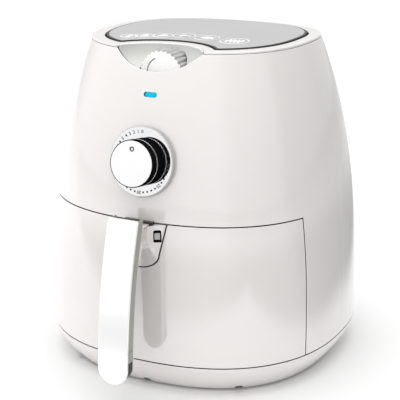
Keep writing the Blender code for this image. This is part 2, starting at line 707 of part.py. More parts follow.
def build_button_spring(body):
    """Coil round the button's stem."""
    per_turn = 10
    steps = 3 * per_turn
    low = SPRING_SEAT_Z + 0.0006
    high = SPRING_SEAT_Z + 0.0049
    radius = 0.0029
    points = []
    for i in range(steps + 1):
        a = 2 * math.pi * i / per_turn
        z = low + (high - low) * i / steps
        points.append((radius * math.cos(a), BUTTON_Y + radius * math.sin(a), z))
    return wire("button_spring", points, 0.00035, STEEL, body, 0)


def wire(name, points, radius, finish, parent, resolution=2):
    data = bpy.data.curves.new(name, "CURVE")
    data.dimensions = "3D"
    spline = data.splines.new("POLY")
    spline.points.add(len(points) - 1)
    for target, point in zip(spline.points, points):
        target.co = (*point, 1)
    data.bevel_depth = radius
    data.bevel_resolution = resolution
    data.use_fill_caps = True
    item = bpy.data.objects.new(name, data)
    bpy.context.scene.collection.objects.link(item)
    item.parent = parent
    data.materials.append(material(*finish))
    return item


def build_latch(latch):
    """Rocker: the button's stem presses its front arm, and its tail hooks the basket hanger's edge."""
    outline = [(-0.0105, 0.0024), (-0.0105, 0.0040), (-0.0080, 0.0038), (-0.0055, 0.0029), (-0.001, 0.0028),
               (0.0022, 0.0024), (0.0032, -0.0010), (0.0045, -0.0018), (0.0030, -0.0040),
               (0.0008, -0.0030), (-0.0015, 0.0012)]
    return make_object("latch_lever", prism(outline, -0.0028, 0.0028, "X"), STEEL, latch)


# ---- dials and lamp ------------------------------------------------------------------------------
def build_timer(timer):
    """Local Z points out of the front of the dial, local Y up along it; the origin is on the shell."""
    back = DIAL_STANDOFF
    face = back + DIAL_THICK
    plate = [(DIAL_BORE, back), (DIAL_RADIUS - 0.0004, back), (DIAL_RADIUS, back + 0.0006),
             (DIAL_RADIUS, face - 0.0008), (DIAL_RADIUS - 0.0008, face), (DIAL_BORE, face)]
    make_object("timer_dial", turned(plate, 40, closed=True), CHROME, timer)
    low = face + FIT
    top = face + KNOB_HEIGHT
    skirt, groove = KNOB_RADIUS + KNOB_SKIRT, KNOB_RADIUS - KNOB_GROOVE
    knob = [(0, low), (skirt, low), (skirt, low + 0.0024), (groove, low + 0.0028), (groove, low + 0.0036),
            (KNOB_RADIUS, low + 0.0040), (KNOB_RADIUS, top - 0.0007), (KNOB_RADIUS - 0.0007, top), (0, top)]
    make_object("timer_knob", turned(knob, 36), CHROME, timer)
    inner_end = -0.0135
    shaft = [(0, inner_end), (SHAFT_RADIUS, inner_end), (SHAFT_RADIUS, low - FIT), (0, low - FIT)]
    make_object("timer_shaft", turned(shaft, 16), STEEL, timer)


def build_timer_unit(fixed):
    """The wound timer behind the wall; its bell is a cup on its back."""
    plate = [(-0.021, -0.018), (0.021, -0.018), (0.021, 0.018), (-0.021, 0.018)]
    unit = make_object("timer_unit", prism(plate, -0.030, -0.0085), STEEL, fixed)
    blind_bore(unit, -0.0150)
    return unit


def blind_bore(unit, end):
    """A hole for a shaft, from the local origin down to its end."""
    radius = SHAFT_RADIUS + 0.0004
    cut(unit, turned([(0, end), (radius, end), (radius, 0), (0, 0)], 16))


def build_lamp(axis):
    outline = [(x, z + LAMP_Z) for x, z in stadium(LAMP_LENGTH, LAMP_HEIGHT)]
    face = front_y(0, LAMP_Z) - 0.0003
    make_object("indicator_lens", prism(outline, face, face + 0.0042, "Y"), LENS, axis)
    holder = box((-0.0065, face + 0.0046, LAMP_Z - 0.004), (0.0065, face + 0.0150, LAMP_Z + 0.004))
    make_object("indicator_lamp", holder, SCOOP_GREY, axis)


def fluted_ring(radius, z):
    per_flute = 4
    ring = []
    for i in range(THERMO_FLUTES * per_flute):
        a = 2 * math.pi * i / (THERMO_FLUTES * per_flute)
        dip = THERMO_FLUTE_DEPTH * (0.5 - 0.5 * math.cos(2 * math.pi * (i % per_flute) / per_flute))
        ring.append(((radius - dip) * math.cos(a), (radius - dip) * math.sin(a), z))
    return ring


def build_thermostat(thermo):
    """Local Z points out of the front; the origin is on the knob's front face."""
    edge = 0.0008
    rings = [fluted_ring(THERMO_RADIUS, z) for z in (-THERMO_LENGTH, -edge)]
    rings.append(fluted_ring(THERMO_RADIUS - edge, 0))
    make_object("thermostat_knob", skin(rings), WHITE, thermo)
    low = -THERMO_LENGTH - 0.0120
    shaft = [(0, low), (SHAFT_RADIUS, low), (SHAFT_RADIUS, -THERMO_LENGTH - FIT), (0, -THERMO_LENGTH - FIT)]
    make_object("thermostat_shaft", turned(shaft, 16), STEEL, thermo)


def build_thermostat_unit(fixed):
    plate = [(-0.018, -0.016), (0.018, -0.016), (0.018, 0.014), (-0.018, 0.014)]
    near = -THERMO_LENGTH - 0.0045
    unit = make_object("thermostat_unit", prism(plate, near - 0.018, near), SCOOP_GREY, fixed)
    blind_bore(unit, near - 0.0100)
    return unit


# ---- heating section -----------------------------------------------------------------------------
def clear_tails(item, z):
    """Holes for the element's ends and the bulb, through a level sheet."""
    for x, y in ELEMENT_TAILS + [(0, SENSOR_Y)]:
        cut(item, prism(circle(ELEMENT_TUBE + 0.001, 12, (x, y)), z - 0.01, z + 0.01))


def build_chamber(axis):
    radius = CHAMBER_RADIUS
    low, top = CHAMBER_LOW_Z, CHAMBER_TOP_Z
    flange = BAY_HALF - 0.003
    bend = 0.006
    hole = HUB_HOLE - SHEET
    profile = [(flange, low), (flange, low + SHEET), (radius, low + SHEET), (radius, top - bend),
               (radius - bend, top), (hole, top), (hole, top - SHEET), (radius - bend - SHEET, top - SHEET),
               (radius - SHEET, top - bend - SHEET), (radius - SHEET, low)]
    liner = make_object("heat_chamber", turned(profile, 40, closed=True), SHEET_STEEL, axis)
    cut(liner, box((-DUCT_HALF, 0.05, DUCT_LOW_Z), (DUCT_HALF, 0.12, DUCT_HIGH_Z)))
    clear_tails(liner, CHAMBER_TOP_Z)
    return liner


def build_exhaust_duct(axis):
    grow = 0.002
    low = (-DUCT_HALF - grow, 0.0895, DUCT_LOW_Z - grow)
    high = (DUCT_HALF + grow, 0.112, DUCT_HIGH_Z + grow)
    duct = make_object("exhaust_duct", box(low, high), SHEET_STEEL, axis)
    cut(duct, box((-DUCT_HALF, 0.05, DUCT_LOW_Z), (DUCT_HALF, 0.2, DUCT_HIGH_Z)))
    radius = CHAMBER_RADIUS + FIT
    return cut(duct, turned([(0, 0.18), (radius, 0.18), (radius, 0.26), (0, 0.26)], 40))


def build_element(axis):
    """A flat coil of sheathed rod; its inner end runs out underneath, and both ends rise past the fan."""
    (start_x, start_y), (end_x, end_y) = ELEMENT_TAILS
    inner = 0.050
    under = ELEMENT_Z - 0.0090
    top = SHIELD_Z + 0.004
    per_turn = 20
    turns = 2
    points = [(start_x, start_y, top), (start_x, start_y, ELEMENT_Z + 0.004)]
    for i in range(turns * per_turn + 1):
        a = 2 * math.pi * i / per_turn
        radius = start_x + (inner - start_x) * i / (turns * per_turn)
        points.append((radius * math.cos(a), radius * math.sin(a), ELEMENT_Z))
    points += [(inner + 0.001, 0.002, ELEMENT_Z - 0.005), (inner + 0.005, 0.003, under)]
    points += [(end_x - 0.004, end_y, under), (end_x, end_y, under + 0.004), (end_x, end_y, top)]
    return wire("heating_element", points, ELEMENT_TUBE, ELEMENT, axis)


def bladed_disc(name, radius, hub, low, disc, height, blades, lean, finish, parent):
    """A disc with radial blades under or over it and a hub bored for the shaft."""
    rings = [(SHAFT_RADIUS + FIT, low), (radius, low), (radius, low + disc), (hub, low + disc),
             (hub, low + disc + height), (SHAFT_RADIUS + FIT, low + disc + height)]
    item = make_object(name, turned(rings, 32, closed=True), finish, parent)
    for k in range(blades):
        a = 2 * math.pi * k / blades
        along = Vector((math.cos(a), math.sin(a), 0))
        across = Vector((-math.sin(a), math.cos(a), 0))
        start = along * (hub + 0.006)
        end = along * (radius - 0.002) + across * lean
        half = across * 0.0006
        outline = [start - half, end - half, end + half, start + half]
        join(item, prism([(p.x, p.y) for p in outline], low + disc / 2, low + disc + height))
    return item


def build_rotor(rotor):
    bladed_disc("hot_air_fan", 0.068, 0.009, HOT_FAN_Z, 0.001, 0.013, 12, 0.010, SHEET_STEEL, rotor)
    bladed_disc("cooling_fan", 0.046, 0.008, COOLING_FAN_Z, 0.0012, 0.0095, 9, 0.012, INNER, rotor)
    low, top = HOT_FAN_Z - 0.008, 0.3020
    shaft = [(0, low), (SHAFT_RADIUS, low), (SHAFT_RADIUS, top), (0, top)]
    make_object("motor_shaft", turned(shaft, 16), STEEL, rotor)
    bore = (SHAFT_RADIUS + FIT) / math.cos(math.pi / 6)
    corner, low, top = 0.0064, HOT_FAN_Z - 0.0045, HOT_FAN_Z - FIT
    nut = [(bore, low), (corner, low), (corner, top), (bore, top)]
    make_object("fan_nut", turned(nut, 6, closed=True), STEEL, rotor)


def build_motor(axis):
    bore = SHAFT_RADIUS + 0.0005
    radius, boss, length = 0.0240, 0.010, 0.0205
    low = BRIDGE_Z + BRIDGE_THICK + FIT
    top = low + length
    case = [(bore, low), (radius, low), (radius, top - 0.002), (radius - 0.002, top), (boss, top),
            (boss, top + 0.002), (bore, top + 0.002)]
    make_object("fan_motor", turned(case, 32, closed=True), MOTOR_IRON, axis)
    leg, foot, thick = BRIDGE_LEG, BRIDGE_LEG + BRIDGE_FOOT, BRIDGE_THICK
    low = SHIELD_Z + SHIELD_THICK + FIT
    right = [(leg, BRIDGE_Z), (leg, low), (foot, low), (foot, low + thick), (leg + thick, low + thick),
             (leg + thick, BRIDGE_Z + thick)]
    outline = right + [(-x, z) for x, z in reversed(right)]
    bridge = make_object("motor_bridge", prism(outline, -0.014, 0.014, "Y"), SHEET_STEEL, axis)
    cut(bridge, prism(circle(0.006, 16), 0.2, 0.4))


def build_shield(axis):
    top = SHIELD_Z + SHIELD_THICK
    profile = [(HUB_HOLE, SHIELD_Z), (SHIELD_RADIUS, SHIELD_Z), (SHIELD_RADIUS, top), (HUB_HOLE, top)]
    shield = make_object("heat_shield", turned(profile, 40, closed=True), SHEET_STEEL, axis)
    clear_tails(shield, SHIELD_Z)
    return shield


def build_sensor(axis):
    radius, tail = SENSOR_RADIUS, 0.0010
    low, shoulder, top = 0.1960, 0.2420, 0.2640
    bulb = [(0, low), (radius - 0.0008, low + 0.0004), (radius, low + 0.0015), (radius, shoulder),
            (tail, shoulder + 0.002), (tail, top), (0, top)]
    return make_object("thermostat_bulb", turned(bulb, 12), STEEL, axis, (0, SENSOR_Y, 0))


def build_bay(axis):
    """The plastic cradle round the pan: open to the front, with screw posts under its floor."""
    top = CHAMBER_LOW_Z - FIT
    floor = BAY_FLOOR_Z + 0.0025
    inner = BAY_HALF - BAY_WALL
    rings = [plan_ring(BAY_HALF, BAY_FLOOR_Z), plan_ring(BAY_HALF, top), plan_ring(inner, top),
             plan_ring(inner, floor)]
    bay = make_object("bay_frame", skin(rings), INNER, axis)
    cut(bay, box((-0.2, -0.2, floor), (0.2, -0.038, 0.2)))
    post_radius, post_low, post_top = 0.0048, 0.0072, BAY_FLOOR_Z + 0.001
    post = [(0, post_low), (post_radius, post_low), (post_radius, post_top), (0, post_top)]
    bore, bore_top = 0.0019, 0.0262
    for x, y in screw_places():
        join(bay, turned(post, 12), (x, y, 0))
        cut(bay, turned([(0, 0), (bore, 0), (bore, bore_top), (0, bore_top)], 12), (x, y, 0))
    window = 0.0032
    cut(bay, box((-window, 0.10, SWITCH_Z - window), (window, 0.13, SWITCH_Z + window)))
    return bay


def build_rails(axis):
    for word, sx in (("left", -1), ("right", 1)):
        near, far = sorted((sx * 0.1085, sx * 0.1122))
        rail = box((near, -0.060, RAIL_LOW_Z), (far, 0.012, RAIL_HIGH_Z))
        make_object("guide_rail_" + word, rail, STEEL, axis)


def build_switch(axis, plunger):
    """The safety switch behind the pan; its plunger meets the closed pan."""
    back = BAY_HALF + 0.0004
    shell = box((-0.010, back, SWITCH_Z - 0.008), (0.010, back + 0.012, SWITCH_Z + 0.008))
    case = make_object("drawer_switch", shell, DARK, axis)
    way = 0.0028
    cut(case, box((-way, back - 0.01, SWITCH_Z - way), (way, back + 0.009, SWITCH_Z + way)))
    radius = 0.0022
    length = back + 0.0040 - PAN_BACK_Y
    pin = [(0, 0), (radius - 0.0006, 0), (radius, 0.0008), (radius, length), (0, length)]
    item = make_object("switch_plunger", turned(pin, 12), TRIM_GREY, plunger)
    item.rotation_euler = (-math.pi / 2, 0, 0)


def build_terminal_block(axis):
    low, high = (0.035, 0.1200, 0.080), (0.065, 0.1285, 0.100)
    return make_object("terminal_block", box(low, high), SCOOP_GREY, axis)


# ---- the whole -----------------------------------------------------------------------------------
def build():
    clear_scene()
    axis = empty("body_axis", location=(0, AXIS_Y, 0))
    timer_spot = (0, front_y(0, TIMER_Z), TIMER_Z)
    timer_fixed = empty("timer_mount", axis, timer_spot, math.pi / 2 - TIMER_TILT)
    timer = empty("timer_axis", axis, timer_spot, math.pi / 2 - TIMER_TILT)
    thermo_spot = (0, THERMO_FACE_Y, THERMO_Z)
    thermo_fixed = empty("thermostat_mount", axis, thermo_spot, math.pi / 2)
    thermo = empty("thermostat_axis", axis, thermo_spot, math.pi / 2)
    drawer = empty("drawer", axis)
    gland = gland_frame(axis)
    build_housing(axis, timer_fixed, gland)
    build_top_cover(axis)
    build_lid_panel(axis)
    build_dial_recess(axis, thermo_fixed)
    build_base(axis)
    build_feet(axis)
    build_base_screws(axis)
    build_rear_vent(axis)
    build_gland(gland)
    build_bay(axis)
    build_rails(axis)
    build_switch(axis, empty("plunger_axis", axis, (0, PAN_BACK_Y, SWITCH_Z)))
    build_terminal_block(axis)
    build_chamber(axis)
    build_exhaust_duct(axis)
    build_element(axis)
    build_shield(axis)
    build_sensor(axis)
    build_motor(axis)
    build_rotor(empty("rotor_axis", axis))
    build_timer(timer)
    build_timer_unit(timer_fixed)
    build_thermostat(thermo)
    build_thermostat_unit(thermo_fixed)
    build_lamp(axis)
    build_drawer_front(drawer)
    build_pan(drawer)
    build_pan_bracket(drawer)
    build_basket(drawer)
    build_basket_hanger(drawer)
    build_handle_body(drawer)
    build_handle_shells(drawer)
    build_guard(drawer)
    build_button(empty("button_axis", drawer, (0, BUTTON_Y, SPRING_SEAT_Z)))
    build_button_spring(drawer)
    build_latch(empty("latch_axis", drawer, (0, PIVOT_Y, PIVOT_Z)))


build()
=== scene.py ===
"""The air fryer's looks: fine meshes and materials for every piece that shows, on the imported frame.

Metres, +Z up, front towards -Y, as in the CAD. Most visible pieces are flat plates with rounded edges that
are bent on to the object's form, so seams, notches and slots keep crisp, evenly rounded edges.
"""

import json
import math

import bmesh
import bpy
import numpy as np
from mathutils import Matrix, Vector
from mathutils.bvhtree import BVHTree


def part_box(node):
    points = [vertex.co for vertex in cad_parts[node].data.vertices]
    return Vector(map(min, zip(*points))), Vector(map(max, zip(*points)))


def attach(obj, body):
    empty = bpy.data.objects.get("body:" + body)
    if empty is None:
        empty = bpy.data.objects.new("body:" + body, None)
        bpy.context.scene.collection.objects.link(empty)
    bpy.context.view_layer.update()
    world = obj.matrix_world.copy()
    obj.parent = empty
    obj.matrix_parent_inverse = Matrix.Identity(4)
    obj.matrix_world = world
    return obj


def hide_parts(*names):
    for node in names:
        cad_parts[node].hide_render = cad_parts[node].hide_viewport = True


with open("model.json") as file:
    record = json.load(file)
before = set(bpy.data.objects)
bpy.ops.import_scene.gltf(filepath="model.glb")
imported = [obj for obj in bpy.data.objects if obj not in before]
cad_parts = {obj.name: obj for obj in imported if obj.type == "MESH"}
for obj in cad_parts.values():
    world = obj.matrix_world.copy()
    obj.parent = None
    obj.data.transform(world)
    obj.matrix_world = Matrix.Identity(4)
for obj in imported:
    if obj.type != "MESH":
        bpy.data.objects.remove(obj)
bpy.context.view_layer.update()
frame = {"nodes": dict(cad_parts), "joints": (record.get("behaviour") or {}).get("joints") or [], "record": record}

# ---- the shell's form ---------------------------------------------------------------------------------
PLAN_POWER = 2.4             # superellipse exponent of the plan
WIDEST_Z = 0.040
RIM_Z = 0.310
TOP_TAPER = 0.0399
TAPER_POWER = 2.5
BASE_TOP_Z = 0.0288          # seam between base and shell
BASE_TUCK = 0.0178
TUCK_POWER = 1.6
BASE_RIM_Z = 0.0018
FLOOR_Z = 0.0042
FLOOR_THICK = 0.0024
WALL = 0.0026
FIT = 0.0003                 # gap between pieces that touch
SEAM = 0.0005                # half of a visible seam
EDGE = 0.0006                # radius of a moulded edge
SHELL_EDGE = 0.0005
SHELL_BEND = {"across": 0.005, "up": 0.006}      # spacing of the extra edges a plate needs to be bent
HANDLE_BEND = {"up": 0.004}
WINDOW_BEND = {"across": 0.0008, "up": 0.0015}

shell_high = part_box("housing_shell")[1]
HALF_WIDTH = shell_high.x
AXIS_Y = shell_high.y - HALF_WIDTH

# ---- places of the pieces -----------------------------------------------------------------------------
DRAWER_TOP_Z = 0.1618
DRAWER_SIDE_Y = -0.068
DRAWER_WALL = 0.0030
NOTCH_TOP_HALF = 0.027
NOTCH_LOW_HALF = 0.0206
NOTCH_ARC_Z = 0.133
NOTCH_BOTTOM_Z = 0.119
NOTCH_GAP = 0.0013           # between the drawer's front and the handle's root
BASE_SLOT_LOW_HALF = 0.0042
BASE_SLOT_TOP_HALF = 0.0038
BASE_SLOT_TALL = 0.0030
BASE_SLOT_RADIUS = 0.0014
BASE_SLOT_SHADE_HALF = 0.0036           # the dark plate behind a slot, painted shade where the floor under the base shows through
BASE_SLOT_SHADE_HALF_TALL = 0.0013
BASE_SLOT_DEGREES = (-38, 0, 38)     # from the front
VENT_HALF = 0.045
VENT_LOW_Z = 0.195
VENT_HIGH_Z = 0.243
GLAND_X = 0.050
GLAND_Z = 0.058
GLAND_RADIUS = 0.0075
LAMP_Z = 0.2727
LAMP_LENGTH = 0.0125
LAMP_HEIGHT = 0.0036
COVER_TOP_Z = 0.3112
TOP_FALL = 0.0030            # how much lower the top's rear edge is
FALL_START_Y = -0.02         # counted from the shell's axis
FALL_LENGTH = 0.12
FALL_LOW_Z = 0.25
FALL_HEIGHT = 0.058
SCOOP_RADIUS = 0.048
SCOOP_CENTRE_Y = -0.1185
SCOOP_DEPTH = 0.027
SCOOP_THICK = 0.0018
LIP_RADIUS = 0.062
LIP_LOW_Z = 0.292
LID_HALF = 0.091
LID_BITE_RADIUS = 0.060
LID_BITE_Y = -0.1175
LID_GAP = 0.0022
LID_TOP_Z = COVER_TOP_Z + 0.0010
LID_THICK = 0.0043
LID_POCKET_DEPTH = 0.0036
LID_INSET = 0.0014           # how far the silver lid stays inside LID_HALF
LID_LINE_INSET = 0.0012      # the dark line round it starts here
LID_LINE_OUTSET = 0.0004     # and ends here
LID_MARKS = [(-41.8, 0.0802, 0.80), (-31.2, 0.0797, 0.88), (-19.1, 0.0805, 0.96), (-5.0, 0.0832, 1.05),
             (11.5, 0.0837, 1.18), (31.5, 0.0899, 1.35)]     # degrees round the scoop, distance, size
THERMO_RADIUS = 0.0212
THERMO_LENGTH = 0.0205
THERMO_FLUTES = 28
THERMO_FLUTE_DEPTH = 0.0012
DIAL_RADIUS = 0.0312
DIAL_STANDOFF = 0.0022
DIAL_THICK = 0.0032
KNOB_RADIUS = 0.0212
KNOB_HEIGHT = 0.0175
KNOB_REAR = 0.0077           # depth of the knob's rear drum
KNOB_GROOVE = 0.0012
KNOB_GROOVE_DEPTH = 0.0007
KNOB_EDGE = 0.0004
KNOB_THREAD = 0.0003
KNOB_CAP_INSET = 0.0009      # how far the bright face stays inside the front drum's rim
SCALE_RADIUS = DIAL_RADIUS * 0.865
NUMERAL_SIZE = 0.0043
SCALE_DOT_RADIUS = 0.0009
POINTER_Y = KNOB_RADIUS * 0.615
POINTER_RADIUS = 0.0022
POINTER_HOLE = 0.0012
PRINT_THICK = 0.00012
HANDLE_REACH = 0.1946
HANDLE_LOW_Z = 0.025
HANDLE_TOP_Z = 0.172
HANDLE_HALF = 0.0148
HANDLE_BOW_RADIUS = 0.463
COVER_THICK = 0.0026
TRIM_BACK = 0.0125
GRIP_BACK = 0.0175
END_CAP_Z = 0.0455
TRIM_PART_Z = 0.0565         # parting line in the handle's side trim
TRIM_INSET = 0.0006          # the trim and the end cap are this much narrower than the cover
NECK_TOP_Z = 0.1606
NECK_HALF = 0.0128
NECK_LENGTH = 0.024
NECK_ROOT_Y = -0.1350        # counted from the shell's axis, inside the drawer's front
NECK_FLARE = 0.012           # length over which the root narrows
NECK_RISE = 0.0225           # how far its underside rises over the flare
NECK_DIP = 0.016             # and falls again towards the grip
NECK_TOP_SHARE = 0.47        # width of the neck's top, as a share of the notch's
GUARD_HALF = 0.0122
GUARD_GRIP_HALF = 0.0150
GUARD_GRIP_DEPTH = 0.0046
GUARD_LENGTH = 0.0155
GUARD_TALL = 0.0030
BUTTON_Y = -0.1480
BUTTON_RADIUS = 0.0042
SPRING_SEAT_Z = 0.1500
WINDOW_TURN = math.radians(40)       # the clip windows face this far forward of straight sideways
WINDOW_X = 0.0165
WINDOW_Y = -0.140
WINDOW_Z = 0.1506
WINDOW_HALF = 0.0034
WINDOW_TALL = 0.0056
WINDOW_FRAME = 0.0010        # width of the frame at the sides
WINDOW_FRAME_TALL = 0.0025   # and at the top and bottom
PAN_HALF = 0.107
PAN_FLOOR_Z = 0.036
PAN_TOP_Z = 0.150
PAN_WALL = 0.0012
PAN_FLANGE = 0.0032
PAN_FOOT_HALF = PAN_HALF - 0.006
BASKET_HALF = 0.0995
BASKET_DRAFT = 0.005
BASKET_FLOOR_Z = 0.048
BASKET_TOP_Z = 0.146


# ---- curves and outlines ------------------------------------------------------------------------------
def levels(low, high, count):
    return [low + (high - low) * i / (count - 1) for i in range(count)]


def half_width(z):
    """The shell's half-width at a height, for a number or an array."""
    high = HALF_WIDTH - TOP_TAPER * (np.maximum(z - WIDEST_Z, 0) / (RIM_Z - WIDEST_Z)) ** TAPER_POWER
    low = BASE_TUCK * (np.maximum(BASE_TOP_Z - z, 0) / BASE_TOP_Z) ** TUCK_POWER
    return high - low


def plan_table():
    """The unit plan against its perimeter, which is 0 at the front's middle and rises towards +X."""
    turn = np.linspace(-math.pi, math.pi, 40001)
    x = np.sign(np.sin(turn)) * np.abs(np.sin(turn)) ** (2 / PLAN_POWER)
    y = -np.sign(np.cos(turn)) * np.abs(np.cos(turn)) ** (2 / PLAN_POWER)
    along = np.concatenate([[0], np.cumsum(np.hypot(np.diff(x), np.diff(y)))])
    return along - along[len(along) // 2], x, y


PLAN_ALONG, PLAN_X, PLAN_Y = plan_table()
PLAN_STEPS = 240
PERIMETER = float(PLAN_ALONG[-1] * 2)
FRONT = slice(len(PLAN_X) // 4, 3 * len(PLAN_X) // 4 + 1)
RIGHT = slice(len(PLAN_X) // 2, len(PLAN_X))
LAP = PERIMETER * HALF_WIDTH         # once round the shell in a bent plate's own x


def x_on_front(x, z):
    """A bent plate's x for the front's point at x and z."""
    return float(np.interp(x / half_width(z), PLAN_X[FRONT], PLAN_ALONG[FRONT])) * HALF_WIDTH


def x_on_back(x, z):
    return -LAP / 2 - x_on_front(x, z)


def x_on_right(y, z):
    """A bent plate's x for the right side's point at y, counted from the shell's axis, and z."""
    return float(np.interp(y / half_width(z), PLAN_Y[RIGHT], PLAN_ALONG[RIGHT])) * HALF_WIDTH


def front_y(x, z):
    """The shell's front surface, counted from the shell's axis."""
    half = half_width(z)
    return -half * (1 - (abs(x) / half) ** PLAN_POWER) ** (1 / PLAN_POWER)


def handle_front(z):
    """The face of the handle's cover, counted from the shell's axis."""
    return -HANDLE_REACH + HANDLE_BOW_RADIUS - np.sqrt(HANDLE_BOW_RADIUS ** 2 - (z - HANDLE_LOW_Z) ** 2)


def plan_point(p, half):
    """The plan's point at a length p of the unit plan's perimeter."""
    return float(np.interp(p, PLAN_ALONG, PLAN_X)) * half, float(np.interp(p, PLAN_ALONG, PLAN_Y)) * half


def plan_outline(half, count=PLAN_STEPS):
    """The plan's outline as (x, y), counter-clockwise from the front's middle."""
    along = np.linspace(0, PERIMETER, count, endpoint=False)
    return [plan_point(p, half) for p in np.where(along > PERIMETER / 2, along - PERIMETER, along)]


def bitten_plan(half, centre_y, radius):
    """The plan's outline with a round bite out of its front."""
    low, high = 0.0, PERIMETER / 4
    for _ in range(50):
        middle = (low + high) / 2
        x, y = plan_point(middle, half)
        low, high = (middle, high) if math.hypot(x, y - centre_y) < radius else (low, middle)
    along = levels(high, PERIMETER - high, PLAN_STEPS)
    rest = [plan_point(p if p <= PERIMETER / 2 else p - PERIMETER, half) for p in along]
    reach = math.atan2(rest[0][0], rest[0][1] - centre_y)
    arc = [(radius * math.sin(a), centre_y + radius * math.cos(a)) for a in levels(-reach, reach, 72)[1:-1]]
    return rest + arc


def rounded(points, radii, steps=6, closed=True):
    """A polyline with its corners rounded; radii is one number or one for each corner."""
    count = len(points)
    if not isinstance(radii, (list, tuple)):
        radii = [radii] * count
    out = []
    for i, (point, radius) in enumerate(zip(points, radii)):
        if radius == 0 or (not closed and i in (0, count - 1)):
            out.append(tuple(point))
            continue
        here = Vector(point)
        back = (Vector(points[i - 1]) - here).normalized()
        ahead = (Vector(points[(i + 1) % count]) - here).normalized()
        half = math.acos(max(-1.0, min(1.0, back.dot(ahead)))) / 2
        reach = radius / math.tan(half)
        centre = here + (back + ahead).normalized() * radius / math.sin(half)
        start = here + back * reach - centre
        end = here + ahead * reach - centre
        turn = start.angle_signed(end) if start.length > 0 else 0
        for k in range(steps + 1):
            a = -turn * k / steps
            out.append((centre.x + start.x * math.cos(a) - start.y * math.sin(a),
                        centre.y + start.x * math.sin(a) + start.y * math.cos(a)))
    return out


def rectangle(x, z, half_x, half_z, radius=0.0):
    left, right, low, high = x - half_x, x + half_x, z - half_z, z + half_z
    corners = [(left, low), (right, low), (right, high), (left, high)]
    return rounded(corners, radius) if radius else corners


def ellipse(x, z, rx, rz, count=48, turn=0.0):
    c, s = math.cos(turn), math.sin(turn)
    flat = [(rx * math.cos(a), rz * math.sin(a)) for a in levels(0, 2 * math.pi, count + 1)[:-1]]
    return [(x + u * c - v * s, z + u * s + v * c) for u, v in flat]


def stadium(length, height):
    return rounded([(-length / 2, -height / 2), (length / 2, -height / 2), (length / 2, height / 2),
                    (-length / 2, height / 2)], height / 2 - 1e-6, 10)


def shifted(points, x, z):
    return [(u + x, v + z) for u, v in points]


def grown(points, by):
    """An outline moved outwards by a distance, with mitred corners."""
    count = len(points)
    area = sum(points[i - 1][0] * points[i][1] - points[i][0] * points[i - 1][1] for i in range(count))
    side = math.copysign(1, area)
    out = []
    for i in range(count):
        here = Vector(points[i])
        before = (here - Vector(points[i - 1])).normalized()
        after = (Vector(points[(i + 1) % count]) - here).normalized()
        first = Vector((before.y, -before.x)) * side
        second = Vector((after.y, -after.x)) * side
        move = (first + second) / max(1 + first.dot(second), 0.2)
        out.append(tuple(here + move * by))
    return out


# ---- solids, as bmeshes -------------------------------------------------------------------------------
def added(name, data):
    """A new object in the scene."""
    item = bpy.data.objects.new(name, data)
    bpy.context.scene.collection.objects.link(item)
    return item


def strip(bm, first, second):
    """Faces between two loops of as many vertices."""
    count = len(first)
    for i in range(count):
        j = (i + 1) % count
        bm.faces.new((first[i], first[j], second[j], second[i]))


def slab(outer, holes=(), thick=WALL, near=EDGE, far=0.0, across=0.0, up=0.0, steps=4):
    """A plate with rounded edges. Its face lies in x and z, and y is the depth below its face.

    near and far are the radii of its edges, in front and behind; across and up are the spacing of the
    extra edges it needs before it is bent.
    """
    bm = bmesh.new()
    corner = levels(0, math.pi / 2, steps + 1)
    profile = [(near * (1 - math.sin(a)), near * (1 - math.cos(a))) for a in corner] if near else [(0, 0)]
    if far:
        profile += [(far * (1 - math.cos(a)), thick - far * (1 - math.sin(a))) for a in corner]
    else:
        profile.append((0, thick))
    faces = {0: [], len(profile) - 1: []}
    for outline, sign in [(outer, -1)] + [(hole, 1) for hole in holes]:
        loops = []
        for inset, depth in profile:
            points = grown(outline, sign * inset) if inset else outline
            loops.append([bm.verts.new((x, depth, z)) for x, z in points])
        for first, second in zip(loops, loops[1:]):
            strip(bm, first, second)
        for k in faces:
            loop = loops[k]
            faces[k] += [bm.edges.get((loop[i - 1], loop[i])) for i in range(len(loop))]
    for edges in faces.values():
        bmesh.ops.triangle_fill(bm, edges=edges, use_beauty=True, use_dissolve=False)
    bmesh.ops.recalc_face_normals(bm, faces=bm.faces)
    flat = [edge for edge in bm.edges if len(edge.link_faces) == 2 and edge.calc_face_angle() < 0.001
            and abs(edge.link_faces[0].normal.y) > 0.999]
    bmesh.ops.dissolve_edges(bm, edges=flat, use_verts=False)
    for spacing, axis in ((across, 0), (up, 2)):
        if not spacing:
            continue
        places = [v.co[axis] for v in bm.verts]
        count = math.ceil((max(places) - min(places)) / spacing)
        for place in levels(min(places), max(places), count + 1)[1:-1]:
            normal = Vector((axis == 0, 0, axis == 2))
            bmesh.ops.bisect_plane(bm, geom=bm.verts[:] + bm.edges[:] + bm.faces[:], dist=1e-7,
                                   plane_co=normal * place, plane_no=normal)
    big = [face for face in bm.faces if len(face.verts) > 4]
    bmesh.ops.triangulate(bm, faces=big)
    return bm


def sunk(bm, depth):
    """A plate let in by a depth, or raised by a negative one."""
    for vertex in bm.verts:
        vertex.co.y += depth
    return bm


def loft(rings, closed=False):
    """A solid through rings of as many points each; closed joins its ends instead of capping them."""
    bm = bmesh.new()
    loops = [[bm.verts.new(point) for point in ring] for ring in rings]
    if closed:
        loops.append(loops[0])
    for first, second in zip(loops, loops[1:]):
        strip(bm, first, second)
    if not closed:
        bm.faces.new(list(reversed(loops[0])))
        bm.faces.new(loops[-1])
    bmesh.ops.recalc_face_normals(bm, faces=bm.faces)
    return bm


def drum(radius, low, high):
    """A plain drum's section for turning, as (radius, height)."""
    return [(0, low), (radius, low), (radius, high), (0, high)]


